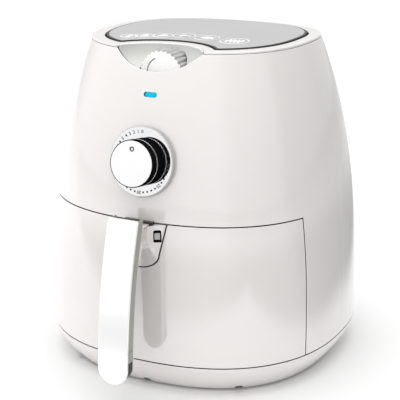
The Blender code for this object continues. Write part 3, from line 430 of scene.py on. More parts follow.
def turned(profile, segments=128):
    """A solid turned about Z from (radius, z) points; it closes on itself if no radius is zero."""
    bm = bmesh.new()
    angles = [2 * math.pi * i / segments for i in range(segments)]
    loops = [[bm.verts.new((0, 0, z))] if radius < 1e-9 else
             [bm.verts.new((radius * math.cos(a), radius * math.sin(a), z)) for a in angles]
             for radius, z in profile]
    if all(len(loop) > 1 for loop in loops):
        loops.append(loops[0])
    for first, second in zip(loops, loops[1:]):
        for i in range(segments):
            j = (i + 1) % segments
            corners = [first[i % len(first)], first[j % len(first)], second[j % len(second)],
                       second[i % len(second)]]
            corners = list(dict.fromkeys(corners))
            if len(corners) > 2:
                bm.faces.new(corners)
    bmesh.ops.recalc_face_normals(bm, faces=bm.faces)
    return bm


def combined(*parts):
    """Several bmeshes as one."""
    whole = bmesh.new()
    for part in parts:
        mesh = bpy.data.meshes.new("part")
        part.to_mesh(mesh)
        part.free()
        whole.from_mesh(mesh)
        bpy.data.meshes.remove(mesh)
    return whole


def boolean(bm, other, operation):
    """The exact union, difference or intersection of two bmeshes."""
    objects = []
    for part in (bm, other):
        mesh = bpy.data.meshes.new("operand")
        part.to_mesh(mesh)
        part.free()
        objects.append(added("operand", mesh))
    change = objects[0].modifiers.new("boolean", "BOOLEAN")
    change.operation = operation
    change.solver = "EXACT"
    change.object = objects[1]
    view = bpy.context.evaluated_depsgraph_get()
    result = bmesh.new()
    result.from_object(objects[0], view)
    for item in objects:
        mesh = item.data
        bpy.data.objects.remove(item)
        bpy.data.meshes.remove(mesh)
    return result


# ---- from a flat plate to its place -------------------------------------------------------------------
def settled(p):
    """The top of the housing falls a little towards the back."""
    back = np.clip((p[:, 1] - AXIS_Y - FALL_START_Y) / FALL_LENGTH, 0, 1) ** 2
    up = np.clip((p[:, 2] - FALL_LOW_Z) / FALL_HEIGHT, 0, 1) ** 2
    return p - np.stack([0 * back, 0 * back, TOP_FALL * back * up], 1)


def on_shell(p):
    """A plate's (x, depth, z) on the shell: x runs round it from the front's middle."""
    along = p[:, 0] / HALF_WIDTH
    along = (along + PERIMETER / 2) % PERIMETER - PERIMETER / 2
    x = np.interp(along, PLAN_ALONG, PLAN_X)
    y = np.interp(along, PLAN_ALONG, PLAN_Y)
    z = p[:, 2]
    step = 1e-5
    slope = (half_width(z + step) - half_width(z - step)) / (2 * step)
    normal = np.stack([np.sign(x) * np.abs(x) ** (PLAN_POWER - 1), np.sign(y) * np.abs(y) ** (PLAN_POWER - 1),
                       -slope], 1)
    normal[:, :2] /= np.maximum(np.hypot(normal[:, 0], normal[:, 1]), 1e-9)[:, None]
    normal /= np.linalg.norm(normal, axis=1)[:, None]
    half = half_width(z)
    place = np.stack([x * half, y * half + AXIS_Y, z], 1)
    return settled(place - normal * p[:, 1:2])


def on_handle(near):
    """A plate's (x, depth, z) on the handle, behind its cover's face."""
    def place(p):
        return np.stack([p[:, 0], handle_front(p[:, 2]) + near + p[:, 1] + AXIS_Y, p[:, 2]], 1)
    return place


def lying(top):
    """A plate's (x, depth, y) lying level, with its face up."""
    def place(p):
        return settled(np.stack([p[:, 0], p[:, 2] + AXIS_Y, top - p[:, 1]], 1))
    return place


def moved(matrix):
    """Points in a frame of their own, given by its matrix."""
    turn = np.array(matrix.to_3x3())
    shift = np.array(matrix.translation)

    def place(p):
        return p @ turn.T + shift
    return place


AT_AXIS = moved(Matrix.Translation((0, AXIS_Y, 0)))
SHARP = math.cos(math.radians(42))


def loop_normals(mesh):
    """Area-weighted normals for each corner, split where faces meet at more than the sharp angle."""
    count = len(mesh.polygons)
    normals = np.zeros(count * 3)
    mesh.polygons.foreach_get("normal", normals)
    normals = normals.reshape(-1, 3)
    areas = np.zeros(count)
    mesh.polygons.foreach_get("area", areas)
    around = [[] for _ in mesh.vertices]
    for polygon in mesh.polygons:
        for vertex in polygon.vertices:
            around[vertex].append(polygon.index)
    found = np.zeros((len(mesh.loops), 3))
    for polygon in mesh.polygons:
        own = normals[polygon.index]
        for loop, vertex in zip(polygon.loop_indices, polygon.vertices):
            near = around[vertex]
            close = [k for k in near if normals[k] @ own > SHARP]
            found[loop] = areas[close] @ normals[close] if close else own
    return found


def piece(name, bm, body, slot, *replaces, place=AT_AXIS, finish=None, seam=False, painted_seam_shade=False):
    """Bends a bmesh into place, gives it even shading, and sets it on its body.

    finish names its material where that isn't its slot's own, and seam joins the two ends of a plate that
    goes all round. A plate with seam shade set gets a dark finish on its walls below its rounded edge: painted
    shade in its seams, slots and notches.
    """
    flat = bpy.data.meshes.new(name + "_flat")
    bmesh.ops.remove_doubles(bm, verts=bm.verts, dist=1e-7)
    bm.to_mesh(flat)
    bm.free()
    co = np.zeros(len(flat.vertices) * 3)
    flat.vertices.foreach_get("co", co)
    co = co.reshape(-1, 3)
    step = 2e-4
    tangents = []
    for axis in range(3):
        move = np.zeros(3)
        move[axis] = step
        tangents.append((place(co + move) - place(co - move)) / (2 * step))
    tx, td, tz = tangents
    if (tx * np.cross(td, tz)).sum() < 0:
        flat.flip_normals()
    corner = loop_normals(flat)
    vertex = np.zeros(len(flat.loops), int)
    flat.loops.foreach_get("vertex_index", vertex)
    normal = (corner[:, 0:1] * np.cross(td, tz)[vertex] + corner[:, 1:2] * np.cross(tz, tx)[vertex]
              + corner[:, 2:3] * np.cross(tx, td)[vertex])
    normal /= np.maximum(np.linalg.norm(normal, axis=1), 1e-12)[:, None]
    points = place(co)
    keep = list(range(len(points)))
    if seam:
        low, high = co[:, 0].min(), co[:, 0].max()
        ends = (np.abs(co[:, 0] - low) < 1e-7) | (np.abs(co[:, 0] - high) < 1e-7)
        first = {}
        for i in np.nonzero(ends)[0]:
            keep[i] = first.setdefault(tuple(np.round(points[i], 5)), int(i))
    faces, kept, seam_shade_faces = [], [], []
    for polygon in flat.polygons:
        if seam and all(ends[i] for i in polygon.vertices):
            continue
        faces.append([keep[i] for i in polygon.vertices])
        kept += polygon.loop_indices
        # painted shade: walls below the rounded edge take the dark finish, so the seams look shaded
        seam_shade_faces.append(int(painted_seam_shade and polygon.center.y > EDGE and abs(polygon.normal.y) < 0.5))
    used = sorted({i for face in faces for i in face})
    renumber = {old: new for new, old in enumerate(used)}
    mesh = bpy.data.meshes.new(name)
    mesh.from_pydata(points[used].tolist(), [], [[renumber[i] for i in face] for face in faces])
    mesh.polygons.foreach_set("use_smooth", [True] * len(faces))
    mesh.normals_split_custom_set(normal[kept].tolist())
    bpy.data.meshes.remove(flat)
    mesh.materials.append(FINISH[finish or slot])
    # the dark finish for the painted seam shade
    if painted_seam_shade:
        mesh.materials.append(FINISH["inner_plastic"])
        mesh.polygons.foreach_set("material_index", seam_shade_faces)
    item = added(name, mesh)
    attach(item, body)
    if replaces:
        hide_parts(*replaces)
    return item


# ---- materials ----------------------------------------------------------------------------------------
FINISH = {}


def fill(tree, made, inputs):
    """Sets a node's inputs to numbers and colours, or links them to other nodes' outputs."""
    for key, value in inputs.items():
        if isinstance(value, bpy.types.NodeSocket):
            tree.links.new(value, made.inputs[key])
        else:
            made.inputs[key].default_value = value


def shader_node(tree, kind, inputs, **settings):
    """A new shader node, by its outputs."""
    made = tree.nodes.new("ShaderNode" + kind)
    for key, value in settings.items():
        setattr(made, key, value)
    fill(tree, made, inputs)
    return made.outputs


def surface(name, dark, light, rough, metallic=0.0, patch=30.0, grain=1500.0, relief=0.02, coat=0.0,
            coat_ior=1.5, stretch=(1, 1, 1), emission=(1, 1, 1), strength=0.0, specular=0.5):
    """A Principled material, kept in FINISH. Noise varies its colour and roughness, and gives fine relief.

    dark and light are the tones it varies between: each is a colour, or one number for a grey.
    """
    made = bpy.data.materials.new(name)
    made.use_nodes = True
    tree = made.node_tree
    dark, light = [(*tone, 1) if isinstance(tone, tuple) else (tone, tone, tone, 1) for tone in (dark, light)]
    where = shader_node(tree, "TexCoord", {})["Object"]
    where = shader_node(tree, "Mapping", {"Vector": where, "Scale": stretch})["Vector"]
    broad = shader_node(tree, "TexNoise", {"Vector": where, "Scale": patch, "Detail": 3})["Fac"]
    fine = shader_node(tree, "TexNoise", {"Vector": where, "Scale": grain, "Detail": 2})["Fac"]
    tone = shader_node(tree, "Mix", {"Factor": broad, "A": dark, "B": light}, data_type="RGBA")["Result"]
    gloss = shader_node(tree, "MapRange", {"Value": broad, "To Min": rough[0], "To Max": rough[1]})["Result"]
    bump = shader_node(tree, "Bump", {"Height": fine, "Strength": relief, "Distance": 0.001})["Normal"]
    fill(tree, tree.nodes["Principled BSDF"], {
        "Base Color": tone, "Roughness": gloss, "Normal": bump, "Metallic": metallic,
        "Specular IOR Level": specular, "Coat Weight": coat, "Coat Roughness": 0.03, "Coat IOR": coat_ior,
        "Emission Color": (*emission, 1), "Emission Strength": strength})
    FINISH[name] = made
    return made


surface("shell_white", (0.76, 0.731, 0.714), (0.79, 0.761, 0.744), (0.14, 0.20), grain=420, relief=0.008,
        coat=1.0, coat_ior=2.3)
surface("scoop_grey", (0.59, 0.595, 0.57), (0.63, 0.635, 0.61), (0.32, 0.42), relief=0.05)
surface("lid_silver", 0.45, 0.49, (0.34, 0.42), metallic=0.35, grain=2600, relief=0.05)
# painted light: the handle's silver cover glows a little, to look brightly lit
surface("cover_silver", 0.90, 0.95, (0.12, 0.20), metallic=0.6, stretch=(1, 1, 0.04), grain=3000,
        relief=0.02, strength=0.10)
surface("trim_grey", (0.31, 0.32, 0.29), (0.35, 0.36, 0.33), (0.25, 0.35), relief=0.04)
surface("chrome", (0.80, 0.80, 0.81), (0.86, 0.86, 0.87), (0.03, 0.07), metallic=1.0, relief=0.004)
surface("dark_plastic", 0.016, 0.026, (0.35, 0.5), relief=0.10)
surface("smoked_guard", (0.022, 0.020, 0.010), (0.034, 0.031, 0.016), (0.15, 0.22), specular=0.25)
surface("inner_plastic", (0.05, 0.05, 0.052), (0.075, 0.075, 0.078), (0.45, 0.6), relief=0.10)
surface("nonstick", (0.022, 0.022, 0.024), (0.040, 0.040, 0.043), (0.28, 0.40), metallic=0.2, grain=2200,
        relief=0.12)
surface("sheet_steel", (0.42, 0.43, 0.44), (0.62, 0.63, 0.64), (0.25, 0.45), metallic=1.0, patch=120,
        relief=0.03)
surface("element_sheath", (0.10, 0.095, 0.09), (0.20, 0.18, 0.16), (0.4, 0.6), metallic=0.8, patch=200,
        relief=0.08)
surface("steel", (0.50, 0.50, 0.51), (0.62, 0.62, 0.63), (0.20, 0.34), metallic=1.0, patch=200, relief=0.02)
surface("motor_iron", (0.25, 0.24, 0.22), (0.38, 0.36, 0.33), (0.35, 0.5), metallic=0.9, patch=150,
        relief=0.06)
surface("rubber", 0.012, 0.022, (0.7, 0.85), relief=0.2)
surface("lamp_lens", (0.0, 0.03, 0.04), (0.0, 0.05, 0.06), (0.25, 0.35), specular=0.15,
        emission=(0.0, 0.52, 0.74), strength=1.0)
surface("print_white", 0.94, 0.97, (0.4, 0.5), relief=0.03)
# painted light: the wheel's white glows a little, so its face looks brightly lit
surface("wheel_white_painted_glow", (0.93, 0.925, 0.92), (0.96, 0.955, 0.95), (0.25, 0.35), relief=0.02,
        emission=(1.0, 0.99, 0.98), strength=0.10)
surface("print_grey", (0.020, 0.020, 0.022), (0.035, 0.035, 0.038), (0.4, 0.5), relief=0.03)
# painted shade: the wheel's flutes, greyer than its white face
surface("wheel_flutes_painted_shade", (0.40, 0.40, 0.39), (0.46, 0.46, 0.45), (0.35, 0.45), relief=0.05)
# painted shade: the dial plate's rim and sides, darker than its chrome face
surface("plate_edge_painted_shade", 0.46, 0.52, (0.35, 0.45), relief=0.05)
# painted shade: a dark finish for the grip's back, so its reflection in the drawer's front shows dark
surface("grip_back_painted_shade", 0.05, 0.08, (0.5, 0.6), relief=0.05)
surface("mark_grey", 0.12, 0.18, (0.4, 0.5), relief=0.03)
surface("knob_black", 0.004, (0.008, 0.008, 0.009), (0.08, 0.14), relief=0.01, specular=0.0)
surface("knob_face", 0.90, 0.95, (0.22, 0.30), metallic=0.3, relief=0.01)

slot_of = {row["node"]: row["material_slot"] for row in frame["record"]["subparts"]}
for node, item in frame["nodes"].items():
    item.data.materials.clear()
    item.data.materials.append(FINISH[slot_of[node]])


# ---- camera, floor and light --------------------------------------------------------------------------
CAMERA_TURN = math.radians(25.55)
CAMERA_AWAY = 1.1744
CAMERA_HEIGHT = 0.5015
CAMERA_PITCH = math.radians(16.965)
CAMERA_YAW = math.radians(0.351)
LENS_MM = 110.9
STUDIO_LEVELS = [(-180, 0.78), (-118, 0.80), (-84, 1.10), (25, 1.10), (40, 0.90), (84, 0.84), (100, 0.58),
                 (150, 0.58), (180, 0.78)]      # brightness against degrees from the front, to the right
STUDIO_STRENGTH = 0.98
FLOOR_TONE = 0.46            # the outer floor's tone nearby, as a share of the studio's brightness
FAR_TONE = 0.42              # what it rises by further out
FLOOR_GLOW = 0.06            # the white floor's own light nearby
FAR_GLOW = 0.26              # what it rises by further out
BASE_SHADOW_DIM = 0.02              # painted shadow: how much darker the white floor is by the object's base
SIDE_EDGE = (0.20, 0.33)     # the white floor ends over this distance towards FLOOR_TURN
FRONT_EDGE = (-0.24, -0.40)  # and over this stretch of y in front
BASE_SHADOW_REACH = (0.15, 0.27)    # distances from the middle over which the painted base shadow fades out
GLOW_REACH = (0.26, 0.9)     # those over which FAR_GLOW comes in
TONE_REACH = (0.5, 1.3)      # those over which FAR_TONE comes in
FLOOR_TURN = 16.3            # degrees by which the white floor's right edge leans to the left behind


def make_camera():
    data = bpy.data.cameras.new("photo_view")
    data.sensor_width = 36.0
    data.lens = LENS_MM
    item = added("photo_view", data)
    item.location = (CAMERA_AWAY * math.sin(CAMERA_TURN), AXIS_Y - CAMERA_AWAY * math.cos(CAMERA_TURN),
                     CAMERA_HEIGHT)
    item.rotation_euler = (math.pi / 2 - CAMERA_PITCH, 0, CAMERA_TURN + CAMERA_YAW)
    bpy.context.scene.camera = item


def smooth_ramp(tree, value, start, end):
    """Eases from 0 to 1 as a value goes from start to end."""
    inputs = {"Value": value, "From Min": start, "From Max": end}
    return shader_node(tree, "MapRange", inputs, interpolation_type="SMOOTHERSTEP")["Result"]


def combine(tree, operation, first, second):
    return shader_node(tree, "Math", {0: first, 1: second}, operation=operation)["Value"]


def studio_level(tree, x, y):
    """The studio's brightness towards x and y: white in front and on the left, greyer at the right."""
    turn = combine(tree, "ARCTAN2", x, combine(tree, "MULTIPLY", y, -1.0))
    place = combine(tree, "ADD", combine(tree, "DIVIDE", turn, 2 * math.pi), 0.5)
    made = tree.nodes.new("ShaderNodeValToRGB")
    ramp = made.color_ramp
    ramp.interpolation = "EASE"
    for degrees, level in STUDIO_LEVELS:
        share = degrees / 360 + 0.5
        stop = ramp.elements.new(share) if 0 < share < 1 else ramp.elements[-int(share)]
        stop.color = (level, level, level, 1)
    fill(tree, made, {"Fac": place})
    return made.outputs["Color"]


def floor_finish():
    """A pale floor: white round the object and behind it, with the studio's greys in front and beside it, and a
    faint painted shadow round the object's base.
    """
    made = surface("floor_white", 0.80, 0.82, (0.55, 0.65), patch=3, grain=50, relief=0.0, strength=1.0)
    tree = made.node_tree
    where = shader_node(tree, "TexCoord", {})["Object"]
    split = shader_node(tree, "SeparateXYZ", {"Vector": where})
    x, y = split["X"], split["Y"]
    away = shader_node(tree, "VectorMath", {0: where}, operation="LENGTH")["Value"]
    turn = math.radians(FLOOR_TURN)
    aside = combine(tree, "ADD", combine(tree, "MULTIPLY", x, math.cos(turn)),
                    combine(tree, "MULTIPLY", y, math.sin(turn)))
    beside, before = smooth_ramp(tree, aside, *SIDE_EDGE), smooth_ramp(tree, y, *FRONT_EDGE)
    outside = combine(tree, "MAXIMUM", beside, before)
    far = combine(tree, "MULTIPLY", smooth_ramp(tree, away, *GLOW_REACH), FAR_GLOW)
    inside = combine(tree, "SUBTRACT", 1.0, outside)
    glow = combine(tree, "MULTIPLY", inside, combine(tree, "ADD", far, FLOOR_GLOW))
    shader = tree.nodes["Principled BSDF"]
    tone = shader.inputs["Base Color"].links[0].from_socket
    # painted shadow: the white floor is a little darker near the object's base
    near = combine(tree, "MULTIPLY", smooth_ramp(tree, away, *BASE_SHADOW_REACH), BASE_SHADOW_DIM)
    near = combine(tree, "ADD", near, 1 - BASE_SHADOW_DIM)
    inner = {"Factor": 1.0, "A": tone, "B": near}
    inner = shader_node(tree, "Mix", inner, data_type="RGBA", blend_type="MULTIPLY")["Result"]
    level = studio_level(tree, x, combine(tree, "SUBTRACT", y, AXIS_Y))
    rise = combine(tree, "MULTIPLY", smooth_ramp(tree, away, *TONE_REACH), FAR_TONE)
    outer = combine(tree, "MULTIPLY", level, combine(tree, "ADD", rise, FLOOR_TONE))
    shade = shader_node(tree, "Mix", {"Factor": outside, "A": inner, "B": outer}, data_type="RGBA")["Result"]
    fill(tree, shader, {"Base Color": shade, "Emission Strength": glow})
    return made


def make_floor():
    bm = bmesh.new()
    rings = [[(r * math.cos(a), r * math.sin(a), 0) for a in levels(0, 2 * math.pi, 97)[:-1]]
             for r in (0.3, 0.8, 2.0, 5.0)]
    loops = [[bm.verts.new(point) for point in ring] for ring in rings]
    bm.faces.new(loops[0])
    for first, second in zip(loops, loops[1:]):
        strip(bm, first, second)
    bmesh.ops.recalc_face_normals(bm, faces=bm.faces)
    mesh = bpy.data.meshes.new("floor")
    bm.to_mesh(mesh)
    bm.free()
    mesh.materials.append(floor_finish())
    item = added("floor", mesh)


def panel(name, place, target, size, glow):
    """A soft light of a given brightness, where 1 is a white that just saturates."""
    data = bpy.data.lights.new(name, "AREA")
    data.shape = "RECTANGLE"
    data.size, data.size_y = size
    data.energy = glow * math.pi * size[0] * size[1]
    item = added(name, data)
    item.location = place
    item.rotation_euler = (Vector(target) - Vector(place)).to_track_quat("-Z", "Y").to_euler()
    item.visible_camera = False


def make_lights():
    """A white studio all round, greyer at the right, with one soft panel overhead and one in front."""
    world = bpy.data.worlds.new("studio")
    world.use_nodes = True
    tree = world.node_tree
    split = shader_node(tree, "SeparateXYZ", {"Vector": shader_node(tree, "TexCoord", {})["Generated"]})
    level = studio_level(tree, split["X"], split["Y"])
    fill(tree, tree.nodes["Background"], {"Color": level, "Strength": STUDIO_STRENGTH})
    bpy.context.scene.world = world
    panel("overhead", (0.0, 0.2, 2.2), (0, 0, 0), (2.0, 2.0), 2.3)
    panel("front_top", (0.0, -1.5, 1.7), (0, 0, 0.2), (1.2, 0.8), 0.9)


# ---- casings ------------------------------------------------------------------------------------------
def hinge(name):
    joint = next(joint for joint in frame["joints"] if joint["name"] == name)
    return Vector(joint["pos_m"]), Vector(joint["axis"])


def outward_frame(name):
    """A frame on a dial's joint: Z out of the front, Y up along it, X to the right."""
    origin, axis = hinge(name)
    out = -axis.normalized() if axis.y > 0 else axis.normalized()
    right = Vector((1, 0, 0))
    up = out.cross(right)
    return Matrix.Translation(origin) @ Matrix((right, up, out)).transposed().to_4x4()


TIMER = outward_frame("timer_turn")
THERMO = outward_frame("thermostat_turn")


def make_housing():
    low, high = BASE_TOP_Z + SEAM, RIM_Z - 0.0010
    side = levels(low, DRAWER_TOP_Z + SEAM, 14)
    left = [(-x_on_right(DRAWER_SIDE_Y + SEAM, z), z) for z in side]
    right = [(x_on_right(DRAWER_SIDE_Y + SEAM, z), z) for z in reversed(side)]
    reach = math.sqrt(LIP_RADIUS ** 2 - (LIP_LOW_Z + LIP_RADIUS - high) ** 2)
    start = math.asin(reach / LIP_RADIUS)
    lip = [(LIP_RADIUS * math.sin(a), LIP_LOW_Z + LIP_RADIUS * (1 - math.cos(a)))
           for a in levels(start, -start, 60)]
    lip = [(x_on_front(x, z), z) for x, z in lip]
    outer = [(-0.75 * LAP, low)] + left + right + [(0.25 * LAP, low), (0.25 * LAP, high)] + lip
    outer += [(-0.75 * LAP, high)]
    lamp = shifted(stadium(LAMP_LENGTH + 2 * FIT, LAMP_HEIGHT + 2 * FIT), 0, LAMP_Z)
    lamp = [(x_on_front(x, LAMP_Z), z) for x, z in lamp]
    vent = rectangle(-LAP / 2, (VENT_LOW_Z + VENT_HIGH_Z) / 2,
                     x_on_front(VENT_HALF, VENT_LOW_Z), (VENT_HIGH_Z - VENT_LOW_Z) / 2, 0.002)
    gland = ellipse(x_on_back(GLAND_X, GLAND_Z), GLAND_Z, GLAND_RADIUS + FIT, GLAND_RADIUS + FIT)
    shaft = ellipse(0, hinge("timer_turn")[0].z, 0.0042, 0.0042, 24)
    plate = slab(outer, [lamp, vent, gland, shaft], WALL, SHELL_EDGE, **SHELL_BEND)
    piece("shell", plate, "housing", "shell_white", "housing_shell", place=on_shell, seam=True,
          painted_seam_shade=True)


def notch_outline(shrink=0.0, fine=1):
    """The U of the drawer's notch as (x, z), from the top right round the bottom to the top left."""
    top = (NOTCH_TOP_HALF - shrink, DRAWER_TOP_Z - SEAM - min(shrink, FIT))
    half = NOTCH_LOW_HALF - shrink
    drop = NOTCH_ARC_Z - NOTCH_BOTTOM_Z - shrink
    side = [(top[0] + (half - top[0]) * k, top[1] + (NOTCH_ARC_Z - top[1]) * k)
            for k in levels(0, 1, 6 * fine + 1)[:-1]]
    arc = [(half * math.cos(a), NOTCH_ARC_Z - drop * math.sin(a)) for a in levels(0, math.pi / 2, 12 * fine)]
    right = side + arc
    return right + [(-x, z) for x, z in reversed(right[:-1])]


def make_drawer_front():
    low, high = BASE_TOP_Z + SEAM, DRAWER_TOP_Z - SEAM
    side = levels(low, high, 14)
    right = [(x_on_right(DRAWER_SIDE_Y - SEAM, z), z) for z in side]
    notch = [(x_on_front(x, z), z) for x, z in notch_outline(0, 2)]
    outer = [(-x, z) for x, z in reversed(right)] + right + notch
    plate = slab(outer, (), DRAWER_WALL, EDGE, 0.0004, **SHELL_BEND)
    piece("drawer_shell", plate, "drawer", "shell_white", "drawer_front", place=on_shell, painted_seam_shade=True)
    near = 0.00005
    sides = [[(x_on_front(x, z), z) for x, z in notch_outline(shrink, 2)]
             for shrink in (near, NOTCH_GAP - near)]
    seal = sunk(slab(sides[0] + sides[1][::-1], (), 0.0016, 0, **SHELL_BEND), 0.0002)
    piece("notch_seal", seal, "drawer", "dark_plastic", "drawer_front", place=on_shell)


def make_base():
    low, high = BASE_RIM_Z, BASE_TOP_Z - SEAM
    outer = [(-0.75 * LAP, low)]
    slots = []
    for degrees in BASE_SLOT_DEGREES:
        a = math.radians(degrees)
        reach = (abs(math.sin(a)) ** PLAN_POWER + abs(math.cos(a)) ** PLAN_POWER) ** (-1 / PLAN_POWER)
        middle = x_on_front(reach * math.sin(a) * half_width(low), low)
        corners = [(middle - BASE_SLOT_LOW_HALF, low), (middle - BASE_SLOT_TOP_HALF, low + BASE_SLOT_TALL),
                   (middle + BASE_SLOT_TOP_HALF, low + BASE_SLOT_TALL), (middle + BASE_SLOT_LOW_HALF, low)]
        outer += rounded(corners, [0, BASE_SLOT_RADIUS, BASE_SLOT_RADIUS, 0], 4)
        # painted shade: a dark plate behind each slot, where the shaded floor under the base shows through
        slot_shade = rectangle(middle, low + BASE_SLOT_SHADE_HALF_TALL, BASE_SLOT_SHADE_HALF, BASE_SLOT_SHADE_HALF_TALL,
                            0.0006)
        slots.append(slab(slot_shade, (), 0.0014, 0, across=0.001))
    outer += [(0.25 * LAP, low), (0.25 * LAP, high), (-0.75 * LAP, high)]
    band = slab(outer, (), WALL, 0.0005, across=0.006, up=0.003)
    slot_shade_plates = sunk(combined(*slots), 0.0002)
    piece("base_slot_shade", slot_shade_plates, "housing", "shell_white", "base_tray", place=on_shell,
          finish="dark_plastic")
    piece("base_band", band, "housing", "shell_white", "base_tray", place=on_shell, seam=True,
          painted_seam_shade=True)
    floor = slab(plan_outline(float(half_width(FLOOR_Z)) - WALL), (), FLOOR_THICK, 0.0004)
    piece("base_floor", floor, "housing", "shell_white", "base_tray", place=lying(FLOOR_Z + FLOOR_THICK))


def lid_outline(grow):
    return bitten_plan(LID_HALF + grow, LID_BITE_Y, LID_BITE_RADIUS - grow)


def make_top():
    rim = float(half_width(RIM_Z))
    outline = bitten_plan(rim - 0.0001, SCOOP_CENTRE_Y, SCOOP_RADIUS)
    ring = slab(outline, [lid_outline(LID_GAP)], COVER_TOP_Z - RIM_Z + 0.0008, 0.0009, steps=5)
    piece("rim", ring, "housing", "shell_white", "top_cover", place=lying(COVER_TOP_Z))
    under = bitten_plan(rim - WALL - FIT, SCOOP_CENTRE_Y, SCOOP_RADIUS)
    floor = slab(under, (), 0.002, 0.0002)
    piece("lid_pocket", floor, "housing", "dark_plastic", "top_cover",
          place=lying(COVER_TOP_Z - LID_POCKET_DEPTH))
    lid = slab(lid_outline(-LID_INSET), (), LID_THICK, EDGE, steps=5)
    piece("lid", lid, "housing", "lid_silver", "lid_panel", place=lying(LID_TOP_Z))
    edge = slab(lid_outline(LID_LINE_OUTSET), [lid_outline(-LID_LINE_INSET)], 0.0041, 0.0004)
    piece("lid_edge", edge, "housing", "lid_silver", "lid_panel", place=lying(LID_TOP_Z - 0.0002),
          finish="dark_plastic")


def ribbon(points, width):
    """The outline of a band along a polyline, for printed strokes."""
    count = len(points)
    sides = []
    for i in range(count):
        back, ahead = points[max(i - 1, 0)], points[min(i + 1, count - 1)]
        along = Vector((ahead[0] - back[0], ahead[1] - back[1])).normalized()
        sides.append((along.y * width / 2, -along.x * width / 2))
    right = [(x + u, y + v) for (x, y), (u, v) in zip(points, sides)]
    left = [(x - u, y - v) for (x, y), (u, v) in zip(points, sides)]
    return right + left[::-1]


def food_marks():
    """Six generic food pictures, each a list of filled outlines in its own plane, about 12 mm wide."""
    m = 0.001
    wave = [(0.7 * m * math.sin(k * 2.1), k * m) for k in levels(-2.6, 2.6, 21)]
    bar = ribbon([(x + 0.28 * y, y) for x, y in wave], 1.5 * m)
    bars = [shifted(bar, k * m, 0) for k in (-4.5, -1.5, 1.5, 4.5)]
    fish = [(4.6 * m * math.cos(a) - 0.6 * m, 2.1 * m * math.sin(a))
            for a in levels(0.25, 2 * math.pi - 0.25, 30)]
    fish += [(6.4 * m, -2.2 * m), (5.6 * m, 0), (6.4 * m, 2.2 * m)]
    leg = [(-1.6 * m + 3.0 * m * math.cos(a), 2.2 * m * math.sin(a))
           for a in levels(0.3, 2 * math.pi - 0.3, 30)]
    leg += [(5.0 * m, -0.5 * m), (5.6 * m, -1.2 * m), (6.3 * m, 0), (5.6 * m, 1.2 * m), (5.0 * m, 0.5 * m)]
    cut_of_meat = ellipse(0, 0, 4.4 * m, 2.2 * m, 36, 0.25)
    bun = [(3.9 * m * math.cos(a), 0.3 * m + 2.6 * m * math.sin(a)) for a in levels(0, math.pi, 20)]
    plate = rectangle(0, -1.4 * m, 3.9 * m, 0.7 * m, 0.5 * m)
    sticks = [rectangle(k * m, 1.1 * m, 0.45 * m, 2.0 * m, 0.2 * m) for k in (-2.2, -0.75, 0.75, 2.2)]
    cup = [(-2.3 * m, -2.9 * m), (2.3 * m, -2.9 * m), (3.0 * m, -1.2 * m), (-3.0 * m, -1.2 * m)]
    return [sticks + [cup], [bun, plate], [cut_of_meat], [leg], [fish], bars]


def make_lid_print():
    """The pictures stand in a row round the scoop, each in a thin oval, and grow a little to the right."""
    shapes = []
    for mark, (degrees, away, size) in zip(food_marks(), LID_MARKS):
        a = math.radians(degrees)
        x, y = away * math.sin(a), LID_BITE_Y + away * math.cos(a)
        wide, deep, line = 0.0100 * size, 0.0112 * size, 0.0006
        hollow = ellipse(x, y, wide - line, deep - 2 * line)
        shapes.append(slab(ellipse(x, y, wide, deep), [hollow], PRINT_THICK, 0))
        for outline in mark:
            shapes.append(slab([(x + u * size, y + v * 2.1 * size) for u, v in outline], (), PRINT_THICK, 0))
    piece("lid_print", combined(*shapes), "housing", "lid_silver", "lid_panel",
          place=lying(LID_TOP_Z + PRINT_THICK), finish="print_white")


def make_scoop():
    reach = SCOOP_RADIUS - FIT
    thick, deep = SCOOP_THICK, SCOOP_DEPTH - 0.0004
    bowl = [((reach - thick) * math.sin(a), COVER_TOP_Z - SCOOP_DEPTH + deep * (1 - math.cos(a)))
            for a in levels(0, math.pi / 2, 25)]
    under = [(radius + thick * (radius > 0), z - thick) for radius, z in bowl]
    under[-1] = (reach, bowl[-1][1])
    solid = turned(bowl + under[::-1], 144)
    for vertex in solid.verts:
        vertex.co.y += SCOOP_CENTRE_Y
    inset = WALL + 2 * FIT
    heights = levels(0.25, RIM_Z, 13)
    rings = [[(x, y, z) for x, y in plan_outline(float(half_width(z)) - inset, 192)] for z in heights]
    rings.append([(x, y, 0.32) for x, y, _ in rings[-1]])
    solid = boolean(solid, loft(rings), "INTERSECT")
    bore = turned(drum(THERMO_RADIUS + 0.0011, -THERMO_LENGTH - 0.0012, 0.0014), 96)
    bore.transform(Matrix.Translation((0, -AXIS_Y, 0)) @ THERMO)
    solid = boolean(solid, bore, "DIFFERENCE")
    piece("scoop", solid, "housing", "scoop_grey", "dial_recess")


